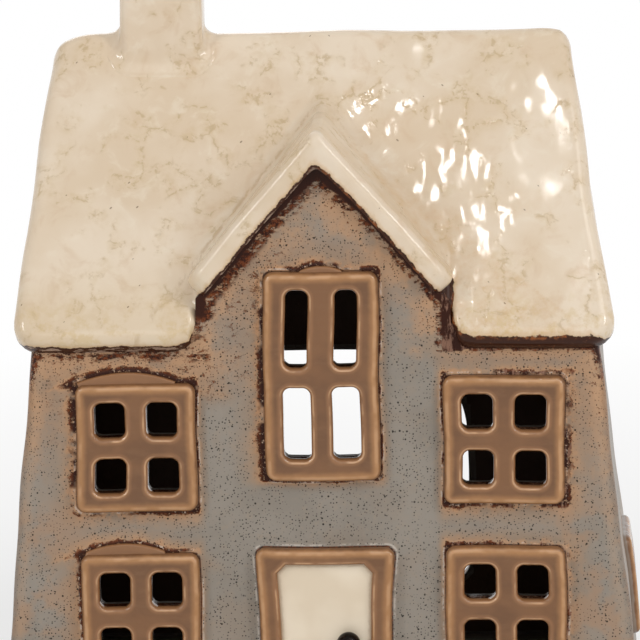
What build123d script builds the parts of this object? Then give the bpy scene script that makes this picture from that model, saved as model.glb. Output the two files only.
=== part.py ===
from build123d import *

import math
import os

# Tealight house: a slab-built, glazed stoneware house lit from inside by a tealight.
# Millimetres. The origin is the middle of the underside, X to the right, Y to the back, Z up.

# Base and walls
base_width = 151.5
side_inset = 9.75
wall_depth = 90.0
base_thickness = 5.0
wall_thickness = 5.0
corner_radius = 3.0
overrun = 12.0

# Four-pane windows
pane_width = 7.2
pane_height = 8.4
pane_corner = 1.4
window_rim = 4.3
window_head = 4.4
window_upright = 5.0
window_crossbar = 4.9
window_corner = 1.8
frame_proud = 2.5
frame_edge_radius = 0.9
pane_clearance = 0.3
window_sill = 14.3
window_row_gap = 10.2
window_spread_share = 0.43485
window_offset = 1.0
right_window_lift = 1.2
eaves_clearance = 6.4

# Smaller four-pane windows on the side walls
side_pane_width = 5.0
side_pane_height = 5.4

# Tall window in the gable, whose lower panes are wider than its upper ones
tall_width = 26.7
tall_pane_spread = 11.4
tall_upper_width = 5.2
tall_lower_width = 6.4
tall_upper_height = 18.4
tall_lower_height = 17.1
tall_head = 4.1
tall_crossbar = 4.6
tall_foot = 5.2
tall_drop = 29.8
gable_offset = 1.7

# Arched clay slips over three of the windows
lintel_proud = 1.0
upper_lintel_span = 24.4
upper_lintel_rise = 3.2
upper_lintel_shift = 2.1
lower_lintel_span = 20.6
lower_lintel_rise = 3.0
lower_lintel_shift = 3.4
tall_lintel_span = 10.6
tall_lintel_rise = 1.7

# Door
door_height = 45.9
door_width = 28.5
door_flare = 2.05
door_jamb = 4.9
door_head = 3.8
door_corner = 2.2
door_panel_corner = 1.6
door_panel_proud = 1.2
door_gap = 0.15
knob_radius = 2.8
knob_neck_radius = 1.5
knob_tip_radius = 0.9
knob_tip_rise = 0.5
knob_margin = 4.15
knob_height = 23.4

# Rear opening that the tealight passes through
opening_width = 67.6
opening_sill = 14.0
opening_height = 60.2
opening_top_radius = 22.0
opening_foot_radius = 5.0

# Roof
roof_pitch = 53.8
roof_thickness = 5.5
eaves_overhang = 4.0
verge_overhang = 3.9
ridge_overhang = 2.6
ridge_radius = 3.0
roof_edge_radius = 2.4
roof_corner_radius = 4.0

# Dormer
dormer_pitch = 49.0
dormer_thickness = 5.3
gable_width = 55.0
gable_clearance = 10.4
dormer_overhang = 2.5
dormer_ridge_radius = 2.0
dormer_edge_radius = 1.5
notch_clearance = 0.3

# Chimney
chimney_width = 19.4
chimney_depth = 13.0
chimney_wall = 3.5
chimney_rise = 25.0
chimney_offset = 36.8
chimney_corner = 2.4
chimney_rim_radius = 1.4

# Tealight
cup_radius = 19.0
cup_foot_radius = 18.5
cup_height = 16.0
cup_foil = 0.4
cup_lip = 0.7
wax_drop = 3.0
wax_clearance = 0.1
wick_radius = 0.8
wick_rise = 5.0
wick_clearance = 0.1
sustainer_radius = 6.0
sustainer_thickness = 0.4
collar_radius = 1.6
collar_height = 3.0

# Sizes that follow from the ones above
front = -wall_depth / 2
back = wall_depth / 2
window_width = 2 * (window_rim + pane_width) + window_upright
window_height = 2 * (window_head + pane_height) + window_crossbar
side_width = 2 * (window_rim + side_pane_width) + window_upright
side_height = 2 * (window_head + side_pane_height) + window_crossbar
eaves_width = base_width - 2 * side_inset
window_spread = window_spread_share * eaves_width
window_x = (window_spread + window_width) / 2
lower_z = base_thickness + window_sill + window_height / 2
side_z = base_thickness + window_sill + side_height / 2
upper_z = lower_z + window_height + window_row_gap
eaves_height = upper_z + window_height / 2 + eaves_clearance
lean = side_inset / (eaves_height - base_thickness)
lean_angle = math.degrees(math.atan(lean))
slope = math.tan(math.radians(roof_pitch))
roof_drop = roof_thickness / math.cos(math.radians(roof_pitch))
ridge_height = eaves_height + roof_drop - slope * front
tall_height = tall_head + tall_upper_height + tall_crossbar + tall_lower_height + tall_foot
tall_z = eaves_height - tall_drop + tall_height / 2
dormer_slope = math.tan(math.radians(dormer_pitch))
gable_apex = tall_z + tall_height / 2 + gable_clearance + dormer_slope * tall_width / 2
gable_shoulder = gable_apex - dormer_slope * gable_width / 2


def wall_half_width(z):
    """Half the width across the side walls at height z."""
    return base_width / 2 - lean * (z - base_thickness)


def roof_under(y):
    """Height of the roof's underside at y."""
    return eaves_height + slope * (wall_depth / 2 - abs(y))


def roof_over(y):
    """Height of the roof's upper face at y, before the ridge is rounded."""
    return roof_under(y) + roof_drop


def save(piece, label):
    """Label a finished piece and write it as its own file."""
    piece.part.label = label
    export_step(piece.part, f"parts/{label}.step")


def four_panes(width, height):
    """Centres and sizes of a small window's equal panes, from the window's centre."""
    across = (window_upright + width) / 2
    up = (window_crossbar + height) / 2
    return [(x, z, width, height) for x in (-across, across) for z in (-up, up)]


def tall_panes():
    """Centres and sizes of the tall window's panes, from the window's centre."""
    across = tall_pane_spread / 2
    upper = tall_height / 2 - tall_head - tall_upper_height / 2
    lower = tall_foot + tall_lower_height / 2 - tall_height / 2
    rows = [(upper, tall_upper_width, tall_upper_height), (lower, tall_lower_width, tall_lower_height)]
    return [(x, z, width, height) for x in (-across, across) for z, width, height in rows]


def wall_plane(x, z):
    """Plane on the front wall's face, with its own X to the right and Y up."""
    return Plane(origin=(x, front, z), x_dir=(1, 0, 0), z_dir=(0, -1, 0))


def side_plane(side):
    """Plane on a leaning side wall's outer face, at the middle of its window."""
    angle = math.radians(lean_angle)
    return Plane(
        origin=(side * wall_half_width(side_z), 0, side_z),
        x_dir=(0, side, 0),
        z_dir=(side * math.cos(angle), 0, math.sin(angle)),
    )


# Plane, width, height and panes of each window
front_panes = four_panes(pane_width, pane_height)
side_panes = four_panes(side_pane_width, side_pane_height)
windows = {
    "centre_window": (wall_plane(gable_offset, tall_z), tall_width, tall_height, tall_panes()),
    "left_side_window": (side_plane(-1), side_width, side_height, side_panes),
    "right_side_window": (side_plane(1), side_width, side_height, side_panes),
}
for row, middle in (("lower", lower_z), ("upper", upper_z)):
    for hand, side, lift in (("left", -1, 0), ("right", 1, right_window_lift)):
        plane = wall_plane(window_offset + side * window_x, middle + lift)
        windows[f"{row}_{hand}_window"] = (plane, window_width, window_height, front_panes)

os.makedirs("parts", exist_ok=True)

# Outer shape shared by the four walls: sides lean in, corners are rounded
wall_top = ridge_height
with BuildPart() as envelope:
    with BuildSketch(Plane.XY.offset(base_thickness)):
        RectangleRounded(base_width, wall_depth, corner_radius)
    with BuildSketch(Plane.XY.offset(wall_top)):
        RectangleRounded(2 * wall_half_width(wall_top), wall_depth, corner_radius)
    loft()

# Base slab that the walls stand on
with BuildPart() as base_slab:
    with BuildSketch():
        RectangleRounded(base_width, wall_depth, corner_radius)
    extrude(amount=base_thickness)
save(base_slab, "base_slab")

# Front wall, which carries on upwards as the dormer's gable
with BuildPart() as front_wall:
    with BuildSketch(Plane.YZ):
        with BuildLine():
            Polyline(
                (front, base_thickness),
                (front + wall_thickness, base_thickness),
                (front + wall_thickness, roof_under(front + wall_thickness)),
                (front, roof_under(front)),
                close=True,
            )
        make_face()
    extrude(amount=base_width, both=True)
    add(envelope.part, mode=Mode.INTERSECT)
    with BuildSketch(wall_plane(gable_offset, 0)):
        with BuildLine():
            Polyline(
                (-gable_width / 2, base_thickness),
                (gable_width / 2, base_thickness),
                (gable_width / 2, gable_shoulder),
                (0, gable_apex),
                (-gable_width / 2, gable_shoulder),
                close=True,
            )
        make_face()
    extrude(amount=-wall_thickness)
    for name, (plane, width, height, panes) in windows.items():
        if "side" in name:
            continue
        with BuildSketch(plane):
            for x, z, across, up in panes:
                with Locations((x, z)):
                    RectangleRounded(across + 2 * pane_clearance, up + 2 * pane_clearance, pane_corner)
        extrude(amount=-wall_thickness, mode=Mode.SUBTRACT)
save(front_wall, "front_wall")

# Back wall with the opening that the tealight passes through
with BuildPart() as back_wall:
    with BuildSketch(Plane.YZ):
        with BuildLine():
            Polyline(
                (back, base_thickness),
                (back - wall_thickness, base_thickness),
                (back - wall_thickness, roof_under(back - wall_thickness)),
                (back, roof_under(back)),
                close=True,
            )
        make_face()
    extrude(amount=base_width, both=True)
    add(envelope.part, mode=Mode.INTERSECT)
    with BuildSketch(Plane.XZ.offset(-back)):
        with Locations((0, base_thickness + opening_sill + opening_height / 2)):
            Rectangle(opening_width, opening_height)
        fillet(vertices().group_by(Axis.Y)[-1], opening_top_radius)
        fillet(vertices().group_by(Axis.Y)[0], opening_foot_radius)
    extrude(amount=wall_thickness, mode=Mode.SUBTRACT)
save(back_wall, "back_wall")

# Side walls, which rise to the ridge as gables and lean in
for name, side in (("left_wall", -1), ("right_wall", 1)):
    with BuildPart() as side_wall:
        with BuildSketch(Plane.YZ):
            with BuildLine():
                Polyline(
                    (front + wall_thickness, base_thickness),
                    (back - wall_thickness, base_thickness),
                    (back - wall_thickness, roof_under(back - wall_thickness)),
                    (0, roof_under(0)),
                    (front + wall_thickness, roof_under(front + wall_thickness)),
                    close=True,
                )
            make_face()
        extrude(amount=side * base_width)
        with BuildSketch(Plane.XZ):
            with BuildLine():
                Polyline(
                    (side * wall_half_width(base_thickness), base_thickness),
                    (side * wall_half_width(wall_top), wall_top),
                    (side * (wall_half_width(wall_top) - wall_thickness), wall_top),
                    (side * (wall_half_width(base_thickness) - wall_thickness), base_thickness),
                    close=True,
                )
            make_face()
        extrude(amount=wall_depth, both=True, mode=Mode.INTERSECT)
        with BuildSketch(side_plane(side).offset(overrun)):
            for x, z, across, up in side_panes:
                with Locations((x, z)):
                    RectangleRounded(across + 2 * pane_clearance, up + 2 * pane_clearance, pane_corner)
        extrude(amount=-wall_thickness - 2 * overrun, mode=Mode.SUBTRACT)
    save(side_wall, name)

# Window frames, each stuck on the face of its wall
for name, (plane, width, height, panes) in windows.items():
    with BuildPart() as frame:
        with BuildSketch(plane):
            RectangleRounded(width, height, window_corner)
        extrude(amount=frame_proud)
        fillet(frame.faces().sort_by(SortBy.AREA)[-1].outer_wire().edges(), frame_edge_radius)
        with BuildSketch(plane):
            for x, z, across, up in panes:
                with Locations((x, z)):
                    RectangleRounded(across, up, pane_corner)
        extrude(amount=frame_proud, mode=Mode.SUBTRACT)
    save(frame, name)

# Arched slips of clay over three windows, standing on the frames' heads
for name, window, span, rise, shift in (
    ("upper_left_lintel", "upper_left_window", upper_lintel_span, upper_lintel_rise, upper_lintel_shift),
    ("lower_left_lintel", "lower_left_window", lower_lintel_span, lower_lintel_rise, lower_lintel_shift),
    ("centre_lintel", "centre_window", tall_lintel_span, tall_lintel_rise, 0),
):
    plane, width, height, panes = windows[window]
    left = -shift - span / 2
    right = -shift + span / 2
    with BuildPart() as lintel:
        with BuildSketch(plane):
            with BuildLine():
                Line((left, height / 2), (right, height / 2))
                ThreePointArc((right, height / 2), (-shift, height / 2 + rise), (left, height / 2))
            make_face()
        extrude(amount=lintel_proud)
    save(lintel, name)

# Door frame: two jambs and a head, a little wider at the top
door_lean = door_flare / door_height
door_top_width = door_width + 2 * door_flare
panel_foot = door_width / 2 - door_jamb
panel_top = panel_foot + door_lean * (door_height - door_head)
with BuildPart() as door_frame:
    with BuildSketch(wall_plane(gable_offset, base_thickness)):
        with BuildLine():
            Polyline(
                (-door_width / 2, 0),
                (door_width / 2, 0),
                (door_top_width / 2, door_height),
                (-door_top_width / 2, door_height),
                close=True,
            )
        make_face()
        fillet(vertices().group_by(Axis.Y)[-1], door_corner)
    extrude(amount=frame_proud)
    fillet(door_frame.faces().sort_by(Axis.Y)[0].edges().group_by(Axis.Z)[1:], frame_edge_radius)
    with BuildSketch(wall_plane(gable_offset, base_thickness)):
        with BuildLine():
            Polyline(
                (-panel_foot, 0),
                (panel_foot, 0),
                (panel_top, door_height - door_head),
                (-panel_top, door_height - door_head),
                close=True,
            )
        make_face()
        chamfer(vertices().group_by(Axis.Y)[-1], door_panel_corner)
    extrude(amount=frame_proud, mode=Mode.SUBTRACT)
save(door_frame, "door_frame")

# Door panel, set back between the jambs
with BuildPart() as door_panel:
    with BuildSketch(wall_plane(gable_offset, base_thickness)):
        with BuildLine():
            Polyline(
                (door_gap - panel_foot, 0),
                (panel_foot - door_gap, 0),
                (panel_top - door_gap, door_height - door_head - door_gap),
                (door_gap - panel_top, door_height - door_head - door_gap),
                close=True,
            )
        make_face()
        chamfer(vertices().group_by(Axis.Y)[-1], door_panel_corner)
    extrude(amount=door_panel_proud)
save(door_panel, "door_panel")

# Door knob: a ball on a short neck, with a small tip on top
knob_x = gable_offset + panel_foot - knob_margin
knob_z = base_thickness + knob_height
knob_face = front - door_panel_proud
knob_reach = math.sqrt(knob_radius**2 - knob_neck_radius**2)
with BuildPart() as door_knob:
    with BuildSketch(Plane(origin=(knob_x, knob_face, knob_z), x_dir=(0, -1, 0), z_dir=(1, 0, 0))):
        with BuildLine():
            Polyline((2 * knob_reach, 0), (0, 0), (0, knob_neck_radius))
            ThreePointArc(
                (0, knob_neck_radius),
                (knob_reach, knob_radius),
                (2 * knob_reach, knob_neck_radius),
            )
            Line((2 * knob_reach, knob_neck_radius), (2 * knob_reach, 0))
        make_face()
    revolve(axis=Axis((knob_x, knob_face, knob_z), (0, 1, 0)))
    with Locations((knob_x, knob_face - knob_reach, knob_z + knob_radius + knob_tip_rise - knob_tip_radius)):
        Sphere(knob_tip_radius)
save(door_knob, "door_knob")

# Chimney's plan, which the flue through the roof shares
flue_width = chimney_width - 2 * chimney_wall
flue_depth = chimney_depth - 2 * chimney_wall

# Roof slabs: the front one is cut away under the dormer, and both for the flue
ridge_start = ridge_radius * math.sin(math.radians(roof_pitch))
ridge_lift = ridge_radius / math.cos(math.radians(roof_pitch))
ridge_top = ridge_height - ridge_lift + ridge_radius
ridge_tangent = ridge_height - slope * ridge_start
eaves_in = roof_thickness * math.sin(math.radians(roof_pitch))
eaves_down = roof_thickness * math.cos(math.radians(roof_pitch))
eaves_y = front - eaves_overhang
eaves_foot = roof_over(eaves_y) - eaves_down
verge_foot = wall_half_width(eaves_foot) + verge_overhang
verge_top = wall_half_width(ridge_height) + ridge_overhang
for name, side in (("roof_front", 1), ("roof_back", -1)):
    with BuildPart() as roof_slab:
        with BuildSketch(Plane.YZ):
            with BuildLine():
                Line((eaves_y, roof_over(eaves_y)), (-ridge_start, ridge_tangent))
                TangentArc((-ridge_start, ridge_tangent), (0, ridge_top), tangent=(1, slope))
                Polyline(
                    (0, ridge_top),
                    (0, roof_under(0)),
                    (eaves_y + eaves_in, eaves_foot),
                    (eaves_y, roof_over(eaves_y)),
                )
            make_face()
        extrude(amount=base_width, both=True)
        with BuildSketch(Plane.XZ):
            with BuildLine():
                Polyline(
                    (-verge_foot, eaves_foot),
                    (verge_foot, eaves_foot),
                    (verge_top, ridge_height),
                    (-verge_top, ridge_height),
                    close=True,
                )
            make_face()
        extrude(amount=wall_depth, both=True, mode=Mode.INTERSECT)
        eaves_face = roof_slab.faces().sort_by(Axis.Y)[0]
        fillet(eaves_face.edges().filter_by(Axis.X, reverse=True), roof_corner_radius)
        slope_face = roof_slab.faces().sort_by(SortBy.AREA)[-2:].sort_by(Axis.Z)[-1]
        fillet(slope_face.edges().sort_by(Axis.Z)[:-1], roof_edge_radius)
        with BuildSketch(Plane.XY.offset(base_thickness)):
            with Locations((-chimney_offset, 0)):
                Rectangle(flue_width, flue_depth)
        extrude(amount=ridge_height, mode=Mode.SUBTRACT)
        if side == 1:
            notch_half = gable_width / 2 + notch_clearance
            with BuildSketch(Plane.XZ):
                with BuildLine():
                    Polyline(
                        (gable_offset - notch_half, base_thickness),
                        (gable_offset + notch_half, base_thickness),
                        (gable_offset + notch_half, gable_apex - dormer_slope * notch_half),
                        (gable_offset, gable_apex),
                        (gable_offset - notch_half, gable_apex - dormer_slope * notch_half),
                        close=True,
                    )
                make_face()
            extrude(amount=wall_depth, mode=Mode.SUBTRACT)
        else:
            mirror(about=Plane.XZ, mode=Mode.REPLACE)
    save(roof_slab, name)

# Dormer's roof: two slabs that meet over the gable and run back into the main roof
dormer_drop = dormer_thickness / math.cos(math.radians(dormer_pitch))
dormer_top = gable_apex + dormer_drop
dormer_in = dormer_thickness * math.sin(math.radians(dormer_pitch))
dormer_down = dormer_thickness * math.cos(math.radians(dormer_pitch))
dormer_foot = gable_width / 2 + dormer_in
crown_start = dormer_ridge_radius * math.sin(math.radians(dormer_pitch))
crown_top = dormer_top - dormer_ridge_radius / math.cos(math.radians(dormer_pitch)) + dormer_ridge_radius
dormer_front = front - dormer_overhang
for name, side in (("dormer_roof_left", -1), ("dormer_roof_right", 1)):
    with BuildPart() as dormer_slab:
        with BuildSketch(wall_plane(gable_offset, 0)):
            with BuildLine():
                Polyline(
                    (0, crown_top),
                    (0, gable_apex),
                    (side * gable_width / 2, gable_shoulder),
                    (side * dormer_foot, gable_shoulder + dormer_down),
                    (side * crown_start, dormer_top - dormer_slope * crown_start),
                )
                TangentArc(
                    (side * crown_start, dormer_top - dormer_slope * crown_start),
                    (0, crown_top),
                    tangent=(-side, dormer_slope),
                )
            make_face()
        extrude(amount=dormer_overhang)
        extrude(dormer_slab.faces().sort_by(Axis.Y)[-1], amount=wall_depth / 2)
        fascia = dormer_slab.faces().sort_by(Axis.Y)[0]
        fillet(fascia.edges().sort_by(Axis.Z)[-2:], dormer_edge_radius)
        with BuildSketch(Plane.YZ):
            with BuildLine():
                Polyline(
                    (eaves_y, roof_over(eaves_y)),
                    (0, roof_over(0)),
                    (0, base_thickness),
                    (eaves_y, base_thickness),
                    close=True,
                )
            make_face()
        extrude(amount=base_width, both=True, mode=Mode.SUBTRACT)
    save(dormer_slab, name)

# Chimney, a hollow stack astride the ridge
with BuildPart() as chimney_stack:
    chimney_foot = roof_over(chimney_depth / 2) - chimney_corner
    with BuildSketch(Plane.XY.offset(chimney_foot)):
        with Locations((-chimney_offset, 0)):
            RectangleRounded(chimney_width, chimney_depth, chimney_corner)
    extrude(amount=ridge_height + chimney_rise - chimney_foot)
    fillet(chimney_stack.faces().sort_by(Axis.Z)[-1].edges(), chimney_rim_radius)
    with BuildSketch(Plane.YZ.offset(-chimney_offset - chimney_width)):
        with BuildLine():
            Line((eaves_y, roof_over(eaves_y)), (-ridge_start, ridge_tangent))
            TangentArc((-ridge_start, ridge_tangent), (0, ridge_top), tangent=(1, slope))
            TangentArc((0, ridge_top), (ridge_start, ridge_tangent), tangent=(1, 0))
            Polyline(
                (ridge_start, ridge_tangent),
                (-eaves_y, roof_over(eaves_y)),
                (-eaves_y, base_thickness),
                (eaves_y, base_thickness),
                (eaves_y, roof_over(eaves_y)),
            )
        make_face()
    extrude(amount=2 * chimney_width, mode=Mode.SUBTRACT)
    with BuildSketch(Plane.XY.offset(base_thickness)):
        with Locations((-chimney_offset, 0)):
            Rectangle(flue_width, flue_depth)
    extrude(amount=ridge_height + chimney_rise, mode=Mode.SUBTRACT)
save(chimney_stack, "chimney_stack")

# Tealight cup: thin foil, a little wider at the top, with a rolled lip
cup_floor = base_thickness + cup_foil
cup_top = base_thickness + cup_height
wax_top = cup_top - wax_drop
with BuildPart() as tealight_cup:
    with BuildSketch(Plane.XZ):
        with BuildLine():
            Polyline(
                (0, base_thickness),
                (cup_foot_radius, base_thickness),
                (cup_radius - cup_lip / 2, cup_top - cup_lip),
                (cup_radius, cup_top - cup_lip),
                (cup_radius, cup_top),
                (cup_radius - cup_lip / 2 - cup_foil, cup_top),
                (cup_foot_radius - cup_foil, cup_floor),
                (0, cup_floor),
                close=True,
            )
        make_face()
    revolve(axis=Axis.Z)
save(tealight_cup, "tealight_cup")

# Wick sustainer: a foil disc on the cup's floor, with a collar round the wick
with BuildPart() as wick_sustainer:
    with BuildSketch(Plane.XY.offset(cup_floor)):
        Circle(sustainer_radius)
    extrude(amount=sustainer_thickness)
    with BuildSketch(Plane.XY.offset(cup_floor + sustainer_thickness)):
        Circle(collar_radius)
        Circle(wick_radius + wick_clearance, mode=Mode.SUBTRACT)
    extrude(amount=collar_height)
save(wick_sustainer, "wick_sustainer")

# Wick, which stands on the sustainer's disc
wick_foot = cup_floor + sustainer_thickness
with BuildPart() as tealight_wick:
    with BuildSketch(Plane.XY.offset(wick_foot)):
        Circle(wick_radius)
    extrude(amount=wax_top + wick_rise - wick_foot)
save(tealight_wick, "tealight_wick")

# Wax, cast round the sustainer and the wick
cup_flare = (cup_radius - cup_lip / 2 - cup_foot_radius) / (cup_height - cup_foil)
wax_foot_radius = cup_foot_radius - cup_foil - wax_clearance
with BuildPart() as tealight_wax:
    with BuildSketch(Plane.XZ):
        with BuildLine():
            Polyline(
                (sustainer_radius + wick_clearance, cup_floor),
                (wax_foot_radius, cup_floor),
                (wax_foot_radius + cup_flare * (wax_top - cup_floor), wax_top),
                (wick_radius + wick_clearance, wax_top),
                (wick_radius + wick_clearance, wick_foot + collar_height + wick_clearance),
                (collar_radius + wick_clearance, wick_foot + collar_height + wick_clearance),
                (collar_radius + wick_clearance, wick_foot + wick_clearance),
                (sustainer_radius + wick_clearance, wick_foot + wick_clearance),
                close=True,
            )
        make_face()
    revolve(axis=Axis.Z)
save(tealight_wax, "tealight_wax")
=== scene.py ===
import math

import bpy
import numpy as np
from mathutils import Matrix, Vector


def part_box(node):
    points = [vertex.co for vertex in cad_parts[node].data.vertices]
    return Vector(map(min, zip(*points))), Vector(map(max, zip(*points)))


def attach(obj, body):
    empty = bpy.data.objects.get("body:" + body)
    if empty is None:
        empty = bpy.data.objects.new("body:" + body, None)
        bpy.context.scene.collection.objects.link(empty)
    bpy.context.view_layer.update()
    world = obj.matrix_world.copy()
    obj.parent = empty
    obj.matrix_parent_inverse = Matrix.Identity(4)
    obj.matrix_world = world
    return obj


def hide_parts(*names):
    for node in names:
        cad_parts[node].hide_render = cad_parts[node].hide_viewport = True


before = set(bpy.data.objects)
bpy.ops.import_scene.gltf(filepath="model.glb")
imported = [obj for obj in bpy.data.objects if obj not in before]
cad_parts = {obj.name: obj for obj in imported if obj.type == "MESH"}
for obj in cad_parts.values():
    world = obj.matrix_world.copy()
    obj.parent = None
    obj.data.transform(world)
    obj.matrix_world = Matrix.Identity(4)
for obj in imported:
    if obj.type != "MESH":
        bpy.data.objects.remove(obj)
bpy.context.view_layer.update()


def skin_length(run, radius, pitch):
    """Length along a sheet folded over a ridge, out to this run: the arc over the ridge and then the
    straight slope."""
    return radius * pitch + (run - radius * math.sin(pitch)) / math.cos(pitch)


# Sizes in millimetres, as the solids have them. X is to the right, Y to the back, Z up.
FRONT, BACK = -45.0, 45.0
FOOT, EAVES = 5.0, 96.9
WALL = 5.0
LEAN = 9.75 / 91.9
HALF_BASE = 75.75
PITCH = math.radians(53.8)
SIN, COS, TAN = math.sin(PITCH), math.cos(PITCH), math.tan(PITCH)
ROOF = 5.5
RIDGE_ROUND = 3.0
RIDGE = EAVES + ROOF / COS - TAN * FRONT
EAVES_Y = -49.0
EAVES_EDGE = 97.5
SLOPE_LENGTH = skin_length(-EAVES_Y, RIDGE_ROUND, PITCH)
VERGE_HALF, VERGE_LEAN, VERGE_SHIFT = 69.84, 0.1246, 0.5
ROOF_ROUND, CORNER_ROUND = 3.2, 7.0
GABLE_X, GABLE_HALF, GABLE_APEX = 1.7, 27.5, 142.26
GABLE_PITCH = math.radians(49.0)
GABLE_COS, GABLE_TAN = math.cos(GABLE_PITCH), math.tan(GABLE_PITCH)
DORMER = 5.3
DORMER_TOP = GABLE_APEX + DORMER / GABLE_COS
DORMER_HALF = GABLE_HALF + DORMER * math.sin(GABLE_PITCH)
DORMER_FACE, DORMER_BACK = -47.5, -12.0
DORMER_ROUND, DORMER_EDGE = 2.0, 2.1
DORMER_LENGTH = skin_length(DORMER_HALF, DORMER_ROUND, GABLE_PITCH)
SKIN_FACE, SKIN_DROP = DORMER_FACE + 1.2, 0.25
VALLEY_FILLET, FAR_FROM_VALLEY = 8.0, 30.0
NOTCH_SHIFT, NOTCH_HALF = 0.65, 29.35
NOTCH_ROUND, LIP_ROUND, LIP_THICK = 2.2, 2.2, 2.6
HOUSE_CORNER, TINY_ROUND = 3.0, 0.3
DOOR_HALF, DOOR_SPREAD, DOOR_HEIGHT = 14.25, 2.05 / 45.9, 45.9
PANEL_INSET, PANEL_HEIGHT = 4.9, 42.1
PANEL_THICK, PANEL_PROUD = 1.4, 1.2
FRAME_THICK, FRAME_PROUD, SIDE_PROUD = 2.8, 2.5, 1.9
LINTEL_THICK, LINTEL_PROUD = 1.2, 1.0
WALL_PANE_SPARE, WALL_PANE_ROUND, FRAME_PANE_ROUND = 0.6, 1.4, 1.8
UPRIGHT_BAR, CROSS_BAR = 5.0, 4.9
SIDE_FRAME, SIDE_SILL = (23.6, 24.5), 14.3
REAR_HALF_WIDTH, REAR_HALF_HEIGHT, REAR_SILL = 33.8, 30.1, 14.0
CHIMNEY_X, CHIMNEY_RISE = -36.8, 25.0
FLUE = (6.2, 3.0, 0.5)
STACK = (9.7, 6.5, 2.4)
STACK_RIM = 1.4
CUP_FOOT = 5.0
UNDERSIDE = 9.0


def hand_made(points):
    """The slight unevenness of clay worked by hand: each point moves by a sum of long sine waves of its own
    place."""
    x, y, z = points[..., 0], points[..., 1], points[..., 2]
    dx = 0.22 * np.sin(z / 8.5 + 0.6) * np.cos(x / 19.0) + 0.12 * np.sin(z / 4.1 + x / 13.0)
    dy = 0.20 * np.sin(x / 9.3 + z / 14.0) + 0.06 * np.cos(x / 5.1 - z / 6.3)
    dz = 0.22 * np.sin(x / 8.9 + 1.1) * np.cos(y / 23.0) + 0.07 * np.sin(x / 4.3 - y / 9.0)
    return points + np.stack([dx, dy, dz], -1)


def smooth_max(a, b, k):
    """The larger of a and b, with the corner between them rounded over a band of k."""
    k = np.maximum(k, 1e-6)
    h = np.maximum(k - np.abs(a - b), 0) / k
    return np.maximum(a, b) + h * h * k / 4


def smooth_min(a, b, k):
    """The smaller of a and b, with the corner between them rounded over a band of k."""
    return -smooth_max(-a, -b, k)


def unit(x):
    """x kept between 0 and 1."""
    return np.clip(x, 0, 1)


def even(p, value):
    """The same value at each point."""
    return np.full(len(p), float(value))


def lines(low, high, step):
    """Evenly spaced grid lines from low to high."""
    return np.linspace(low, high, int(round((high - low) / step)) + 1)


def rounded(past, radius):
    """Signed distance to an outline with round corners, from the distances past its edges: with the edges
    moved in by the radius, the length of what lies past them, less the radius."""
    q = past + np.asarray(radius)[..., None]
    return np.linalg.norm(np.maximum(q, 0), axis=-1) + np.minimum(q.max(-1), 0) - radius


def pane_edge(p, x, z, width, height, radius):
    """Signed distance to a rectangle round (x, z) with round corners."""
    return rounded(np.abs(p - np.array([x, z])) - np.array([width, height]) / 2, radius)


def nearest_pane(p, panes, x=0.0, z=0.0, spare=0.0, radius=FRAME_PANE_ROUND):
    """Signed distance to the nearest of the panes of a window at (x, z), each larger by the spare."""
    gaps = [pane_edge(p, x + px, z + pz, w + spare, h + spare, radius) for px, pz, w, h in panes]
    return np.min(gaps, axis=0)


def gap_mark(gap, reach=40, scale=1.0, shift=0.0):
    """A mark that holds a distance, scaled and shifted, from 0 to the reach."""
    return lambda p, deep: np.clip(gap(p) * scale + shift, 0, reach)


def make_mesh(name, points, faces, marks, sharp=50):
    """A mesh from points in millimetres, with smooth faces and one attribute for each mark."""
    mesh = bpy.data.meshes.new(name)
    mesh.from_pydata((points * 0.001).tolist(), [], faces)
    mesh.validate()
    mesh.shade_smooth()
    mesh.set_sharp_from_angle(angle=math.radians(sharp))
    for mark, values in marks.items():
        held = mesh.attributes.new(mark, "FLOAT", "POINT")
        held.data.foreach_set("value", values.astype(np.float32))
    made = bpy.data.objects.new(name, mesh)
    bpy.context.scene.collection.objects.link(made)
    return made


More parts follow.
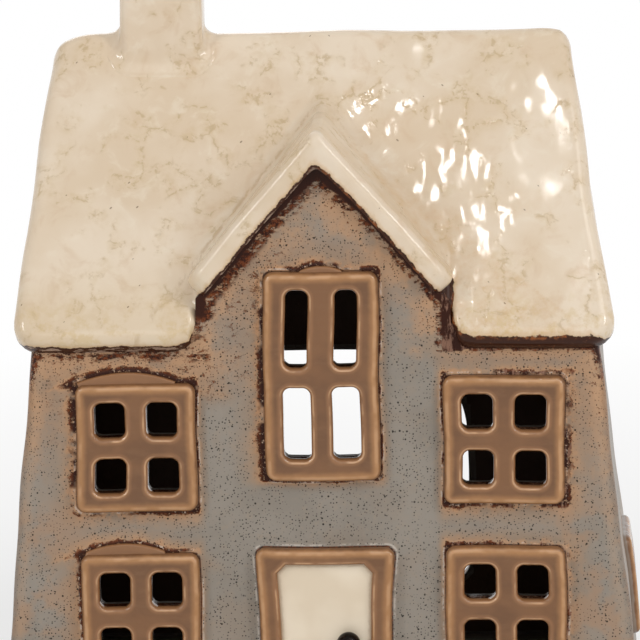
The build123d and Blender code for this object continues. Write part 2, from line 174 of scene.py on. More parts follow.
def cut_slab(name, across, along, edge, place, under, rim, marks, hand=True):
    """A slab cut to an outline. A grid of across by along lines covers it; edge(p) is the signed distance
    to the outline, negative in the clay. Grid points within half a step of the outline move onto it along
    the distance's slope, and cells past it are left out. From each point of the outline rows go outwards by
    r sin t and down by r (1 - cos t), a quarter circle, and then straight down to the thickness; the
    underside closes it. rim(p) gives r and the thickness."""
    step = max(np.diff(across).max(), np.diff(along).max())
    grid = np.stack(np.meshgrid(across, along, indexing="ij"), -1).reshape(-1, 2)

    def slope(p):
        g = np.stack([edge(p + nudge) - edge(p - nudge) for nudge in np.eye(2) * 0.02], -1)
        return g / np.maximum(np.linalg.norm(g, axis=-1, keepdims=True), 1e-9)

    def numbered(kept, first=0):
        """New numbers for the grid points that are kept."""
        numbers = np.full(len(grid), -1)
        numbers[kept] = first + np.arange(len(kept))
        return numbers

    d = edge(grid)
    near = np.abs(d) < 0.51 * step
    for _ in range(3):
        grid[near] -= edge(grid[near])[:, None] * slope(grid[near])
    d[near] = 0
    ids = np.arange(len(grid)).reshape(len(across), len(along))
    cells = np.stack([ids[:-1, :-1], ids[1:, :-1], ids[1:, 1:], ids[:-1, 1:]], -1).reshape(-1, 4)
    kept = d[cells] <= 0
    quads = cells[kept.all(1)]
    three = cells[kept.sum(1) == 3]
    missing = np.argmin(d[three] <= 0, axis=1)
    triangles = np.stack([three[np.arange(len(three)), (missing + k) % 4] for k in (1, 2, 3)], -1)
    pairs = [np.stack([f, np.roll(f, -1, axis=1)], -1).reshape(-1, 2) for f in (quads, triangles)]
    pairs = np.concatenate(pairs)
    keys = pairs.min(1) * len(grid) + pairs.max(1)
    _, where, count = np.unique(keys, return_inverse=True, return_counts=True)
    border = pairs[count[where] == 1]
    used = np.unique(np.concatenate([quads.ravel(), triangles.ravel()]))
    rim_ids = np.unique(border)
    inner = np.setdiff1d(used, rim_ids)
    new, ring = numbered(used), numbered(rim_ids)

    flat, brim = grid[used], grid[rim_ids]
    radius, thick = rim(brim)
    turns = [(math.sin(t), 1 - math.cos(t), 0.0) for t in np.radians([18, 36, 54, 72, 90])]
    turns += [(1, 1, 0.35), (1, 1, 0.7), (1, 1, 0.94)]
    outs = [radius * a for a, b, c in turns] + [radius - 0.06 * (thick - radius)]
    deeps = [radius * b + (thick - radius) * c for a, b, c in turns] + [thick]
    rows = [brim + slope(brim) * out[:, None] for out in outs]
    points = [place(flat, even(flat, 0))] + [place(row, e) for row, e in zip(rows, deeps)]
    points = np.concatenate(points + [under(grid[inner])])

    first = len(flat) + len(rim_ids) * np.arange(len(outs))
    a, b = border[:, 0], border[:, 1]
    levels = [(new[a], new[b])] + [(start + ring[a], start + ring[b]) for start in first]
    faces = new[quads].tolist() + new[triangles].tolist()
    for (a0, b0), (a1, b1) in zip(levels[:-1], levels[1:]):
        faces += np.stack([b0, a0, a1, b1], -1).tolist()
    below = numbered(inner, first[-1] + len(rim_ids))
    below[rim_ids] = first[-1] + ring[rim_ids]
    faces += below[quads][:, ::-1].tolist() + below[triangles][:, ::-1].tolist()

    spots = np.concatenate([flat] + rows + [grid[inner]])
    deep = np.concatenate([even(flat, 0)] + deeps + [even(inner, UNDERSIDE)])
    held = {mark: value(spots, deep) for mark, value in marks.items()}
    return make_mesh(name, hand_made(points) if hand else points, faces, {**held, "deep": deep})


def on_plane(origin, across, up):
    """Places points of a flat piece: origin, plus x across, plus z up, less the depth along the way it
    faces."""
    origin, across, up = (np.array(v, float) for v in (origin, across, up))
    facing = np.cross(across, up)
    return lambda p, deep: origin + p[:, :1] * across + p[:, 1:] * up - np.asarray(deep)[:, None] * facing


def front_plane(proud=0.0, x=0.0, z=0.0):
    """The front wall's plane, or one this far in front of it."""
    return on_plane((x, FRONT - proud, z), (1, 0, 0), (0, 0, 1))


def flat_slab(name, across, up, step, edge, plane, radius, thick, marks, hand=True):
    """A flat slab on a plane: its face, its rim, and a flat back. The rim's radius is a number or varies
    with the place."""
    return cut_slab(
        name,
        lines(*across, step),
        lines(*up, step),
        edge,
        plane,
        lambda p: plane(p, even(p, thick)),
        lambda p: (radius(p) if callable(radius) else even(p, radius), even(p, thick)),
        marks,
        hand,
    )


def loft(name, rings, looped=False, marks=None, sharp=50):
    """A surface through closed rings of points, row by row. Its ends meet when looped, and are closed by a
    fan otherwise. A looped one can hold marks, with one value for each ring."""
    rows, around = rings.shape[:2]
    ids = np.arange(rows * around).reshape(rows, around)
    if looped:
        ids = np.concatenate([ids, ids[:1]])
    turned = np.roll(ids, -1, axis=1)
    faces = np.stack([ids[:-1], turned[:-1], turned[1:], ids[1:]], -1).reshape(-1, 4).tolist()
    points = rings.reshape(-1, 3)
    if not looped:
        low, high = rows * around, rows * around + 1
        faces += np.stack([turned[0], ids[0], np.full(around, low)], -1).tolist()
        faces += np.stack([ids[-1], turned[-1], np.full(around, high)], -1).tolist()
        points = np.concatenate([points, np.stack([rings[0].mean(0), rings[-1].mean(0)])])
    marks = {mark: np.repeat(values, around) for mark, values in (marks or {}).items()}
    return make_mesh(name, points, faces, marks, sharp)


def turned_piece(name, profile, centre, axis="z", around=48, sharp=40):
    """A turned piece: each (radius, height) of the profile swept once round the axis, with closed poles."""
    angle = np.linspace(0, 2 * math.pi, around, endpoint=False)
    radius, height = np.array(profile, float).T
    radius = np.maximum(radius, 1e-3)[:, None]
    a, b, h = radius * np.cos(angle), radius * np.sin(angle), np.repeat(height[:, None], around, 1)
    rings = np.stack([a, b, h] if axis == "z" else [a, -h, b], -1) + np.array(centre)
    return loft(name, rings, sharp=sharp)


# Roof, worked in its own unrolled plane: x across and s up the slope, with s 0 on the ridge and negative in
# front
def folded(s, radius, pitch):
    """A sheet folded over a ridge. At s from the ridge it is an arc of this radius, and then a straight
    slope. Gives the way across, the drop below the sharp ridge, and the way the sheet faces."""
    side = np.where(s < 0, -1.0, 1.0)
    turn = np.clip(np.abs(s) / radius, 0, pitch)
    run = np.maximum(np.abs(s) - radius * pitch, 0)
    across = side * (radius * np.sin(turn) + run * math.cos(pitch))
    drop = radius / math.cos(pitch) - radius * np.cos(turn) + run * math.sin(pitch)
    return across, drop, side * np.sin(turn), np.cos(turn)


def roof_skin(s):
    """Place (y, z) of the roof's upper face s from the ridge, with the way it faces."""
    y, drop, ny, nz = folded(s, RIDGE_ROUND, PITCH)
    return y, RIDGE - drop, ny, nz


def roof_inside(y):
    """Place (y, z) of the roof's underside below the y of its upper face: the flat slopes meet in a
    mitre."""
    y = y * (1 + ROOF * SIN / EAVES_Y)
    return y, RIDGE - ROOF / COS - TAN * np.abs(y)


def dormer_slopes(p):
    """How high the dormer's two slopes, a hair lower than its slabs, stand over the roof's plane."""
    x, z = p[:, 0] - GABLE_X, roof_skin(p[:, 1])[1]
    return (DORMER_TOP - SKIN_DROP - GABLE_TAN * np.hypot(x, 0.9) - z) / COS


def dormer_rise(p):
    """How far the skin rises to the dormer's slabs: to their two slopes, rounded into the roof's plane
    along the valley, and stopped behind the slabs' front and feet."""
    flank = (GABLE_HALF + 0.1 - np.abs(p[:, 0] - GABLE_X)) * 3.5
    lifted = smooth_max(smooth_min(dormer_slopes(p), flank, 1.5), 0.0, VALLEY_FILLET)
    face = np.maximum((roof_skin(p[:, 1])[0] - SKIN_FACE) / SIN, 0)
    return np.where(p[:, 1] < 0, smooth_min(lifted, face, np.minimum(lifted, 1.0)), 0.0)


def notch_lines(p):
    """Signed distances to the notch under the dormer: to the two slanting lines over it, and to its upright
    sides."""
    x = p[:, 0] - GABLE_X
    steep = TAN + 1 / TAN
    rate = GABLE_TAN / steep / COS
    apex = -skin_length((RIDGE - GABLE_APEX - SKIN_FACE / TAN) / steep, RIDGE_ROUND, PITCH)
    crown = np.exp(-((x / 7.0) ** 2))
    slanted = (p[:, 1] - apex - 0.6 * crown + rate * (np.hypot(x, 1.5) - 1.5 * crown)) / math.hypot(1, rate)
    return slanted, np.abs(x - NOTCH_SHIFT) - NOTCH_HALF


def roof_sides(p):
    """Signed distances to the verges, which spread a little towards the eaves, and to the eaves."""
    x, s = p[:, 0], p[:, 1]
    up = roof_skin(s)[1] - EAVES_EDGE
    flare = np.where(x > 0, 1.3 - 0.059 * np.minimum(up, 36.0), 0.9 * unit((up - 27.5) / 20.0))
    half = VERGE_HALF - VERGE_LEAN * up + np.where(s < 0, flare, -1.2 * (s > 0))
    return np.abs(x + VERGE_SHIFT) - half - VERGE_SHIFT, np.abs(s) - SLOPE_LENGTH


def roof_outline(p):
    """Signed distance to the roof's outer outline, a slanting sheet with round corners."""
    return rounded(np.stack(roof_sides(p), -1), CORNER_ROUND)


def flue_edge(p):
    """Signed distance to the flue through the ridge."""
    return pane_edge(p, CHIMNEY_X, 0, 12.4, 7.6, 0.6)


def roof_edge(p):
    """Signed distance to the flat face, which stops short of each edge by the radius of its rounding."""
    slanted, upright = notch_lines(p)
    notch = np.maximum(slanted - LIP_ROUND, upright - NOTCH_ROUND)
    return np.maximum(smooth_max(roof_outline(p) + ROOF_ROUND, -notch, 4.0), TINY_ROUND - flue_edge(p))


def lip_share(p):
    """1 along the notch's slanting lines, which lie behind the dormer's slabs, and 0 on its upright
    sides."""
    slanted, upright = notch_lines(p)
    share = unit((slanted + 3.0) / 1.5) * unit((5.5 - slanted) / 1.5) * unit((-0.2 - upright) / 1.5)
    return np.where(p[:, 1] < 0, share, 0.0)


def roof_rim(p):
    """Radius of the rounded edge and thickness there: the slab's own, and a thin lip on the notch's
    slanting lines."""
    radius = np.where(notch_lines(p)[1] < NOTCH_ROUND + 1.0, NOTCH_ROUND, ROOF_ROUND)
    return np.where(flue_edge(p) < 1.0, TINY_ROUND, radius), ROOF - (ROOF - LIP_THICK) * lip_share(p)


def ridge_droop(p):
    """How far the ridge sinks over its last stretch on the left, and at both its ends, fading down the
    slopes."""
    along = unit((-48.0 - p[:, 0]) / 21.0)
    ends = unit((np.abs(p[:, 0] + VERGE_SHIFT) - 53.5) / 8.5)
    return 2.0 * (along**2 + ends**2) * np.exp(-((p[:, 1] / 10.0) ** 2))


def roof_place(p, deep):
    """A point of the roof: up from the slope by the dormer's rise and in towards the underside by the
    depth, or back under the dormer's lip."""
    y, z, ny, nz = roof_skin(p[:, 1])
    inner_y, inner_z = roof_inside(y)
    rise = dormer_rise(p)
    lip = lip_share(p)
    share = (1 - lip) * deep / ROOF
    y = y + ny * rise + share * (inner_y - y) + lip * deep
    return np.stack([p[:, 0], y, z + nz * rise + share * (inner_z - z) - ridge_droop(p)], -1)


def roof_under(p):
    """The underside: the slab's thickness below the slope, or under the dormer's slopes where that is
    higher."""
    y, z, ny, nz = roof_skin(p[:, 1])
    inner_y, inner_z = roof_inside(y)
    x = np.abs(p[:, 0] - GABLE_X)
    loft_rise = (GABLE_APEX - GABLE_TAN * x - z) / COS
    lifted = np.where((x < GABLE_HALF) & (p[:, 1] < 0), np.maximum(loft_rise, -ROOF) + ROOF, 0.0)
    return np.stack([p[:, 0], inner_y + ny * lifted, inner_z + nz * lifted], -1)


def eaves_gap(p, deep):
    """Millimetres from the eaves, for the glaze that runs down and pools there."""
    return np.clip(SLOPE_LENGTH - np.abs(p[:, 1]), 0, 60)


def valley_gap(p, deep):
    """Millimetres from the valley where the dormer's slopes rise out of the roof's plane."""
    away = np.where(p[:, 1] < 0, np.abs(dormer_slopes(p) + 1.0) * 0.8, FAR_FROM_VALLEY)
    return np.clip(away + np.where(p[:, 0] > GABLE_X, 1.2, 0.0), 0, FAR_FROM_VALLEY)


def roof_break(p, deep):
    """Millimetres past the line where the cream glaze ends: on the end face of the eaves, low down on the
    verges, and in the notch, on its right side already on the face."""
    verge, eaves = roof_sides(p)
    right = p[:, 0] > GABLE_X
    line = np.where(right, 0.75, 2.2)
    line = line + (5.2 - line) * unit((verge - eaves + 4.0) / 4.0)
    up = p[:, 1] + SLOPE_LENGTH
    in_notch = np.where(right, unit((up - 4.0) / 4.0) - 0.2, -0.7) - notch_lines(p)[1]
    low = (p[:, 1] < 0) & (eaves_gap(p, deep) < 16.0)
    return np.clip(np.maximum(deep - line, np.where(low, in_notch, -9.0)), -9, 9)


roof = cut_slab(
    "roof_clay",
    lines(-74, 74, 0.78),
    lines(-SLOPE_LENGTH - 1, SLOPE_LENGTH + 1, 0.78),
    roof_edge,
    roof_place,
    roof_under,
    roof_rim,
    {"eaves_gap": eaves_gap, "past": roof_break, "valley_gap": valley_gap},
)


# Dormer's roof: the same kind of folded sheet, with u down its slopes and y from front to back
def dormer_place(p, deep):
    """A point of the dormer's roof: on its folded upper face, and in towards the underside, blunt at its
    top, by the depth."""
    x, drop, _, _ = folded(p[:, 0], DORMER_ROUND, GABLE_PITCH)
    inner_x = x * GABLE_HALF / DORMER_HALF
    z, inner_z = DORMER_TOP - drop, GABLE_APEX - GABLE_TAN * np.hypot(inner_x, 1.2)
    share = deep / DORMER
    return np.stack([GABLE_X + x + share * (inner_x - x), p[:, 1], z + share * (inner_z - z)], -1)


def dormer_ends(p):
    """Signed distances to the dormer roof's feet, to its front, and to where it has sunk into the main
    roof."""
    drop = folded(p[:, 0], DORMER_ROUND, GABLE_PITCH)[1]
    sunk = -(RIDGE - DORMER_TOP + drop) / TAN + 1.0
    return np.abs(p[:, 0]) - DORMER_LENGTH, DORMER_FACE - p[:, 1], p[:, 1] - sunk


def dormer_edge(p):
    """Signed distance to the dormer roof's flat face."""
    foot, front, back = dormer_ends(p)
    return np.maximum(smooth_max(foot + DORMER_EDGE, front + DORMER_EDGE, 3.0), back + TINY_ROUND)


dormer_roof = cut_slab(
    "dormer_roof_clay",
    lines(-DORMER_LENGTH - 0.5, DORMER_LENGTH + 0.5, 0.6),
    lines(DORMER_FACE - 0.5, DORMER_BACK, 0.6),
    dormer_edge,
    dormer_place,
    lambda p: dormer_place(p, even(p, DORMER)),
    lambda p: (np.where(dormer_ends(p)[2] > -1.0, TINY_ROUND, DORMER_EDGE), even(p, DORMER)),
    {
        "eaves_gap": gap_mark(lambda p: dormer_ends(p)[0], 60, -1.0, 9.0),
        "past": lambda p, deep: np.clip(deep - 4.6, -9, 9),
        "valley_gap": lambda p, deep: even(p, FAR_FROM_VALLEY),
    },
)


# Windows: centre on the wall, size, and panes as (x, z, width, height) from the centre
def four_panes(width, height):
    """The four equal panes of a small window."""
    across, up = (UPRIGHT_BAR + width) / 2, (CROSS_BAR + height) / 2
    return [(x, z, width, height) for x in (-across, across) for z in (-up, up)]


def tall_panes():
    """The tall window's panes: two narrow ones over two wider ones."""
    rows = [(49.4 / 2 - 4.1 - 9.2, 5.2, 18.4), (5.2 + 8.55 - 49.4 / 2, 6.4, 17.1)]
    return [(x, z, width, height) for x in (-5.7, 5.7) for z, width, height in rows]


def box_middle(node):
    """Middle of a solid's box and its size, in millimetres."""
    low, high = (np.array(corner) * 1000 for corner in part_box(node))
    return (low + high) / 2, high - low


front_windows, lintels = {}, {}
for name in ("upper_left", "upper_right", "lower_left", "lower_right", "centre"):
    middle, size = box_middle(name + "_window")
    panes = tall_panes() if name == "centre" else four_panes(7.2, 8.4)
    front_windows[name] = (middle[0], middle[2], size[0], size[2], panes)
for name in ("upper_left", "lower_left", "centre"):
    middle, size = box_middle(name + "_lintel")
    lintels[name] = (middle[0], middle[2] - size[2] / 2, size[0], 0.78 * size[2])


def lintel_edge(p, x, z, span, rise):
    """Signed distance to a lintel: inside a circle through its two ends and its top, and let into the
    window's head."""
    radius = (span * span / 4 + rise * rise) / (2 * rise)
    round_top = np.linalg.norm(p - np.array([x, z + rise - radius]), axis=-1) - radius
    let_in = 1.5 * (1 - unit(np.abs(p[:, 0] - x) / (span / 2)) ** 6)
    return np.maximum(round_top, z - let_in - p[:, 1])


def past_door(p, inset, height):
    """Distances past the door's sides, moved in by the inset, and past its head. The sides spread
    upwards."""
    up = p[:, 1] - FOOT
    return np.stack([np.abs(p[:, 0] - GABLE_X) - DOOR_HALF - DOOR_SPREAD * up + inset, up - height], -1)


def door_outline(p):
    """Signed distance to the door frame's outline, which has round upper corners."""
    return rounded(past_door(p, 0.0, DOOR_HEIGHT), 2.2)


def panel_outline(p, gap=0.0):
    """Signed distance to the door panel, whose upper corners are cut off."""
    q = past_door(p, PANEL_INSET + gap, PANEL_HEIGHT - gap)
    return np.maximum(q.max(-1), (q.sum(-1) + 2.2) / math.sqrt(2))


def frames_gap(p, deep):
    """Millimetres from the nearest frame, lintel or door on the front wall."""
    gaps = [pane_edge(p, x, z, width, height, 1.8) for x, z, width, height, _ in front_windows.values()]
    gaps += [lintel_edge(p, *sizes) for sizes in lintels.values()]
    return np.clip(np.min(gaps + [door_outline(p)], axis=0), 0, 40)


def stain_gap(p, deep):
    """Millimetres from the nearest frame or lintel, stretched so that the stain keeps to its head and to
    the side away from the door, and growing towards the foot."""
    gap = even(p, 40)
    for x, z, width, height, _ in front_windows.values():
        q = p - np.array([x, z])
        past = np.sign(q) * np.maximum(np.abs(q) - np.array([width, height]) / 2, 0)
        outer, side = (1.0, 1.0) if x < 10 else (-1.0, 0.95)
        foot = 1.15 if abs(x) > 20 and z > 60 else 2.6
        past = past * np.where(past * [outer, 1.0] < 0, [side, foot], [3.2, 1.5])
        gap = np.minimum(gap, np.linalg.norm(past, axis=-1))
    for sizes in lintels.values():
        gap = np.minimum(gap, 1.2 * np.maximum(lintel_edge(p, *sizes), 0))
    return np.clip(gap + 0.03 * np.maximum(70.0 - p[:, 1], 0), 0, 40)


# Walls
def gable_line(p, spare):
    """Signed distance to the gable under the dormer, let into the dormer by the spare. Low down, where the
    roof's slab lies in front of it, it goes on past the notch's sides."""
    x = p[:, 0] - GABLE_X
    roofed = (p[:, 1] + GABLE_TAN * np.abs(x) - GABLE_APEX - spare) * GABLE_COS
    low = np.maximum(np.abs(x) - GABLE_HALF - 4.6, p[:, 1] - 103.5)
    return np.maximum(roofed, np.minimum(np.abs(x - NOTCH_SHIFT) - NOTCH_HALF + 0.2, low))


def front_panes(p):
    """Signed distance to the nearest pane cut through the front wall."""
    windows = front_windows.values()
    gaps = [nearest_pane(p, panes, x, z, WALL_PANE_SPARE, WALL_PANE_ROUND) for x, z, _, _, panes in windows]
    return np.min(gaps, axis=0)


def past_sides(p):
    """Signed distance to the leaning side walls' outer faces."""
    return np.abs(p[:, 0]) - HALF_BASE + LEAN * (p[:, 1] - FOOT)


def wall_edge(p):
    """Signed distance to the flat face of the front or back wall, up to the eaves."""
    upright = np.maximum(past_sides(p) + HOUSE_CORNER, FOOT + 0.1 - p[:, 1])
    return np.maximum(upright, p[:, 1] - EAVES - 1.2)


corner_gap = gap_mark(past_sides, scale=-1.0)


def front_edge(p):
    """Signed distance to the front wall's flat face: the wall or the gable, less the panes."""
    gable = np.maximum(gable_line(p, 0.8), FOOT - p[:, 1])
    return np.maximum(np.minimum(wall_edge(p), gable), TINY_ROUND - front_panes(p))


def front_round(p):
    """Radius of the front wall's rim: large at the house's corners and small at the panes."""
    sides = past_sides(p)
    return np.where(sides > -4.5, HOUSE_CORNER * unit((sides + 6.0) / 2.0), TINY_ROUND)


def front_roof_gap(p, deep):
    """Millimetres below the dormer's slopes, or from the notch's sides or the eaves, which stain the wall
    less."""
    x, z = p[:, 0] - GABLE_X, p[:, 1]
    left = x < 0
    inside = np.maximum(NOTCH_HALF - 1.6 - np.abs(x - NOTCH_SHIFT), 0)
    side = inside + np.where(left, 0.3 + 0.7 * np.clip(107 - z, 0, 4), 0.5 + 0.06 * np.clip(109 - z, 0, 12))
    gable = (GABLE_APEX - GABLE_TAN * np.abs(x) - z) * GABLE_COS - 1.6 * np.exp(-((x / 6.0) ** 2))
    left_eaves = np.hypot(inside, z - EAVES) + 1.9
    right_eaves = np.hypot(inside, 3.0 * np.maximum(EAVES + 1.0 - z, 0)) + 0.3
    corner = np.hypot(1.4 * np.maximum(corner_gap(p, deep) - 0.6, 0), 0.3 * np.maximum(96.0 - z, 0))
    eaves = np.minimum(np.where(left, left_eaves, right_eaves), corner + np.where(left, 1.1, 0.4))
    above = (z > EAVES) & (np.abs(x) < GABLE_HALF + 4.8)
    gap = np.where(above, np.minimum(np.minimum(gable, side), eaves), eaves)
    return np.clip(gap * (1 + 0.04 * unit(x / 10.0)), 0, 40)


def rear_opening(p):
    """Signed distance to the rear opening, with wide round upper corners and small round lower ones."""
    q = p - np.array([0, FOOT + REAR_SILL + REAR_HALF_HEIGHT])
    past = np.abs(q) - np.array([REAR_HALF_WIDTH, REAR_HALF_HEIGHT])
    return rounded(past, np.where(q[:, 1] > 0, 22.0, 5.0))


walls = {}
walls["front_wall"] = flat_slab(
    "front_wall_clay",
    (-76, 76),
    (4, 144),
    0.7,
    front_edge,
    front_plane(),
    front_round,
    WALL,
    {"frame_gap": frames_gap, "roof_gap": front_roof_gap, "stain_gap": stain_gap, "corner_gap": corner_gap},
)
walls["back_wall"] = flat_slab(
    "back_wall_clay",
    (-76, 76),
    (4, 99),
    1.0,
    lambda p: np.maximum(wall_edge(p), 0.8 - rear_opening(p)),
    on_plane((0, BACK, 0), (-1, 0, 0), (0, 0, 1)),
    lambda p: np.where(past_sides(p) > -4.5, HOUSE_CORNER, 0.8),
    WALL,
    {
        "frame_gap": gap_mark(rear_opening, shift=0.5),
        "stain_gap": gap_mark(rear_opening, scale=2.0, shift=2.0),
        "roof_gap": gap_mark(lambda p: EAVES - p[:, 1]),
        "corner_gap": corner_gap,
    },
)

side_tilt = math.atan(LEAN)
side_rise = 1 / math.cos(side_tilt)
SIDE_PANES = four_panes(5.0, 5.4)
SIDE_WINDOW_Z = (SIDE_SILL + SIDE_FRAME[1] / 2) * side_rise


def side_plane(side, proud=0.0, rise=0.0):
    """The leaning plane of a side wall, from the middle of its foot or so far up, with its own z up the
    slope."""
    up = np.array([-side * math.sin(side_tilt), 0, math.cos(side_tilt)])
    normal = np.array([side * math.cos(side_tilt), 0, math.sin(side_tilt)])
    origin = np.array([side * HALF_BASE, 0, FOOT]) + proud * normal + rise * up
    return on_plane(origin, (0, side, 0), up)


def side_panes(p):
    """Signed distance to the nearest pane cut through a side wall."""
    return nearest_pane(p, SIDE_PANES, 0, SIDE_WINDOW_Z, WALL_PANE_SPARE, WALL_PANE_ROUND)


def side_frame_gap(p):
    """Signed distance to a side wall's window frame."""
    return pane_edge(p, 0, SIDE_WINDOW_Z, *SIDE_FRAME, 1.8)


def side_top(p):
    """Signed distance to the roof's underside over a side wall."""
    return (p[:, 1] / side_rise + FOOT - EAVES - TAN * (BACK - np.abs(p[:, 0]))) * COS


def side_edge(p):
    """Signed distance to a side wall's face, which rises to the ridge as a gable."""
    wall = np.maximum(np.maximum(np.abs(p[:, 0]) - 40.0, -p[:, 1]), side_top(p) - 0.4)
    return np.maximum(wall, TINY_ROUND - side_panes(p))


for name, side in (("left_wall", -1), ("right_wall", 1)):
    walls[name] = flat_slab(
        name + "_clay",
        (-41, 41),
        (-1, 166),
        1.0,
        side_edge,
        side_plane(side),
        lambda p: np.where(side_panes(p) < 1.0, TINY_ROUND, 0.02),
        WALL,
        {
            "frame_gap": gap_mark(side_frame_gap),
            "stain_gap": gap_mark(side_frame_gap, scale=1.6, shift=0.8),
            "roof_gap": gap_mark(side_top, scale=-1.0),
            "corner_gap": gap_mark(lambda p: 43.0 - np.abs(p[:, 0])),
        },
    )


# Window frames: thick soft-edged slabs stuck on the wall
def frame_slab(name, plane, width, height, panes, banked=0.0):
    """A window frame: a rounded slab with its panes cut out, its outer edge rounded by 1.5 and each pane's
    by 1.1. The wall's glaze is banked up against it where banked is 1."""

    def outer(p):
        return pane_edge(p, 0, 0, width, height, 2.2)

    return flat_slab(
        name,
        (-width / 2 - 0.5, width / 2 + 0.5),
        (-height / 2 - 0.5, height / 2 + 0.5),
        0.42,
        lambda p: np.maximum(outer(p) + 1.5, 1.1 - nearest_pane(p, panes)),
        plane,
        lambda p: np.where(outer(p) > -1.8, 1.5, 1.1),
        FRAME_THICK,
        {
            "rim": gap_mark(outer, 20, -1.0),
            "pane": gap_mark(lambda p: nearest_pane(p, panes), 20),
            "banked": lambda p, deep: even(p, banked),
        },
    )


def lintel_slip(name, x, z, span, rise):
    """A lintel: a thin slip of clay, round on top, on the wall over a frame."""

    def edge(p):
        return lintel_edge(p, x, z, span, rise)

    return flat_slab(
        name,
        (x - span / 2 - 0.5, x + span / 2 + 0.5),
        (z - 2.0, z + rise + 0.5),
        0.35,
        lambda p: edge(p) + 0.5,
        front_plane(LINTEL_PROUD),
        0.5,
        LINTEL_THICK,
        {"rim": gap_mark(edge, 20, -1.0, 2.2)},
    )


trims = {}
for name, (x, z, width, height, panes) in front_windows.items():
    plane = front_plane(FRAME_PROUD, x, z)
    trims[name + "_window"] = frame_slab(name + "_frame", plane, width, height, panes)
for name, side in (("left_side", -1), ("right_side", 1)):
    plane = side_plane(side, SIDE_PROUD, SIDE_WINDOW_Z)
    trims[name + "_window"] = frame_slab(name + "_frame", plane, *SIDE_FRAME, SIDE_PANES, banked=1.0)
for name, sizes in lintels.items():
    trims[name + "_lintel"] = lintel_slip(name + "_slip", *sizes)

# Door
trims["door_frame"] = flat_slab(
    "door_surround",
    (GABLE_X - 17, GABLE_X + 17),
    (4.5, 51.5),
    0.45,
    lambda p: np.maximum(np.maximum(door_outline(p) + 1.4, FOOT + 0.1 - p[:, 1]), 0.9 - panel_outline(p)),
    front_plane(FRAME_PROUD),
    lambda p: np.where(door_outline(p) > -1.8, 1.4, 0.9),
    FRAME_THICK,
    {"rim": gap_mark(door_outline, 20, -1.0), "pane": gap_mark(panel_outline, 20)},
)
door_panel = flat_slab(
    "door_leaf",
    (GABLE_X - 13, GABLE_X + 13),
    (4.5, 48),
    0.6,
    lambda p: np.maximum(panel_outline(p, -0.3) + 0.5, FOOT + 0.1 - p[:, 1]),
    front_plane(PANEL_PROUD),
    0.5,
    PANEL_THICK,
    {"rim": gap_mark(panel_outline, 20, -1.0)},
)
KNOB, KNOB_OUT, KNOB_UP = 2.8, 2.37, 23.4
knob_rows = [(KNOB * math.sin(t), KNOB_OUT - KNOB * math.cos(t)) for t in np.radians(np.linspace(2, 148, 24))]
door_knob = turned_piece(
    "knob_ball",
    [(1.5, -0.2), (1.5, 0.1)] + [row for row in knob_rows if row[1] > 0.1],
    (box_middle("door_knob")[0][0], FRONT - PANEL_PROUD, FOOT + KNOB_UP),
    axis="y",
)


# Chimney: rings of a rounded rectangle, up inside the flue, over the rim, and down to a foot that spreads
# on the roof
def stack_ring(half_width, half_depth, radius, steps=10, straight=8):
    """A rounded rectangle: for each corner an arc round its centre, with straight runs between,
    anticlockwise."""
    arcs = []
    for turn, (cx, cy) in enumerate(((1, 1), (-1, 1), (-1, -1), (1, -1))):
        arc = np.linspace(0, math.pi / 2, steps) + turn * math.pi / 2
        centre = np.array([cx * (half_width - radius), cy * (half_depth - radius)])
        arcs.append(centre + radius * np.stack([np.cos(arc), np.sin(arc)], -1))
    joined = []
    for here, after in zip(arcs, arcs[1:] + arcs[:1]):
        share = np.linspace(0, 1, straight + 2)[1:-1, None]
        joined += [here, here[-1] + share * (after[0] - here[-1])]
    return np.concatenate(joined)


def chimney():
    """The chimney as one closed skin of rings, each with its height and its distance from the rim. The
    foot's rings follow the roof: there it spreads as an arc from the upright to the slope."""
    top = RIDGE + CHIMNEY_RISE
    rows = [(FLUE, out, drop) for out, drop in ((0, 30), (0, 4), (0.05, 1.2), (0.35, 0.4), (1, 0))]
    turns = np.radians([0, 20, 40, 60, 80, 90])
    rows += [(STACK, -STACK_RIM * (1 - math.sin(t)), STACK_RIM * (1 - math.cos(t))) for t in turns]
    rows += [(STACK, 0, share * 17.0) for share in (0.15, 0.4, 0.7, 1.0)]
    rings = [(stack_ring(*np.add(sizes, out)), top - drop, drop) for sizes, out, drop in rows]

    flat = stack_ring(*STACK)
    outward = stack_ring(*np.add(STACK, 1.0)) - flat
    reach = np.abs(flat[:, 1])
    arch = RIDGE - RIDGE_ROUND / COS + np.sqrt(np.maximum(RIDGE_ROUND**2 - reach**2, 0))
    over = np.where(reach < RIDGE_ROUND * SIN, arch, RIDGE - TAN * reach)
    bend = math.pi / 2 - np.arctan(TAN * np.abs(outward[:, 1]))
    radius = 3.0 + 6.0 * np.abs(outward[:, 1])
    for share in (0.0, 0.15, 0.3, 0.45, 0.6, 0.75, 0.9, 1.0):
        spread = radius * (1 - np.cos(share * bend))
        height = over + radius * (np.tan(bend / 2) - np.sin(share * bend)) + 0.06
        rings.append((flat + outward * spread[:, None], height, 20.0))
    rings.append((rings[-1][0], rings[-1][1] - 0.9, 20.0))
    for inset in (1.5, 5.8):
        flat = stack_ring(STACK[0] + 3.0 - inset, STACK[1] + 3.0 - inset, 5.4 - 0.8 * inset)
        rings.append((flat, RIDGE - TAN * np.abs(flat[:, 1]) - 2.5 - 0.2 * inset, 30.0))

    skin = [np.column_stack([flat + [CHIMNEY_X, 0], np.full(len(flat), z)]) for flat, z, _ in rings]
    rims = np.array([rim for _, _, rim in rings])[::-1]
    marks = {"eaves_gap": rims + 20.0, "past": even(rims, -9), "valley_gap": even(rims, FAR_FROM_VALLEY)}
    return loft("chimney_clay", hand_made(np.stack(skin)[::-1]), looped=True, marks=marks, sharp=60)


chimney_stack = chimney()


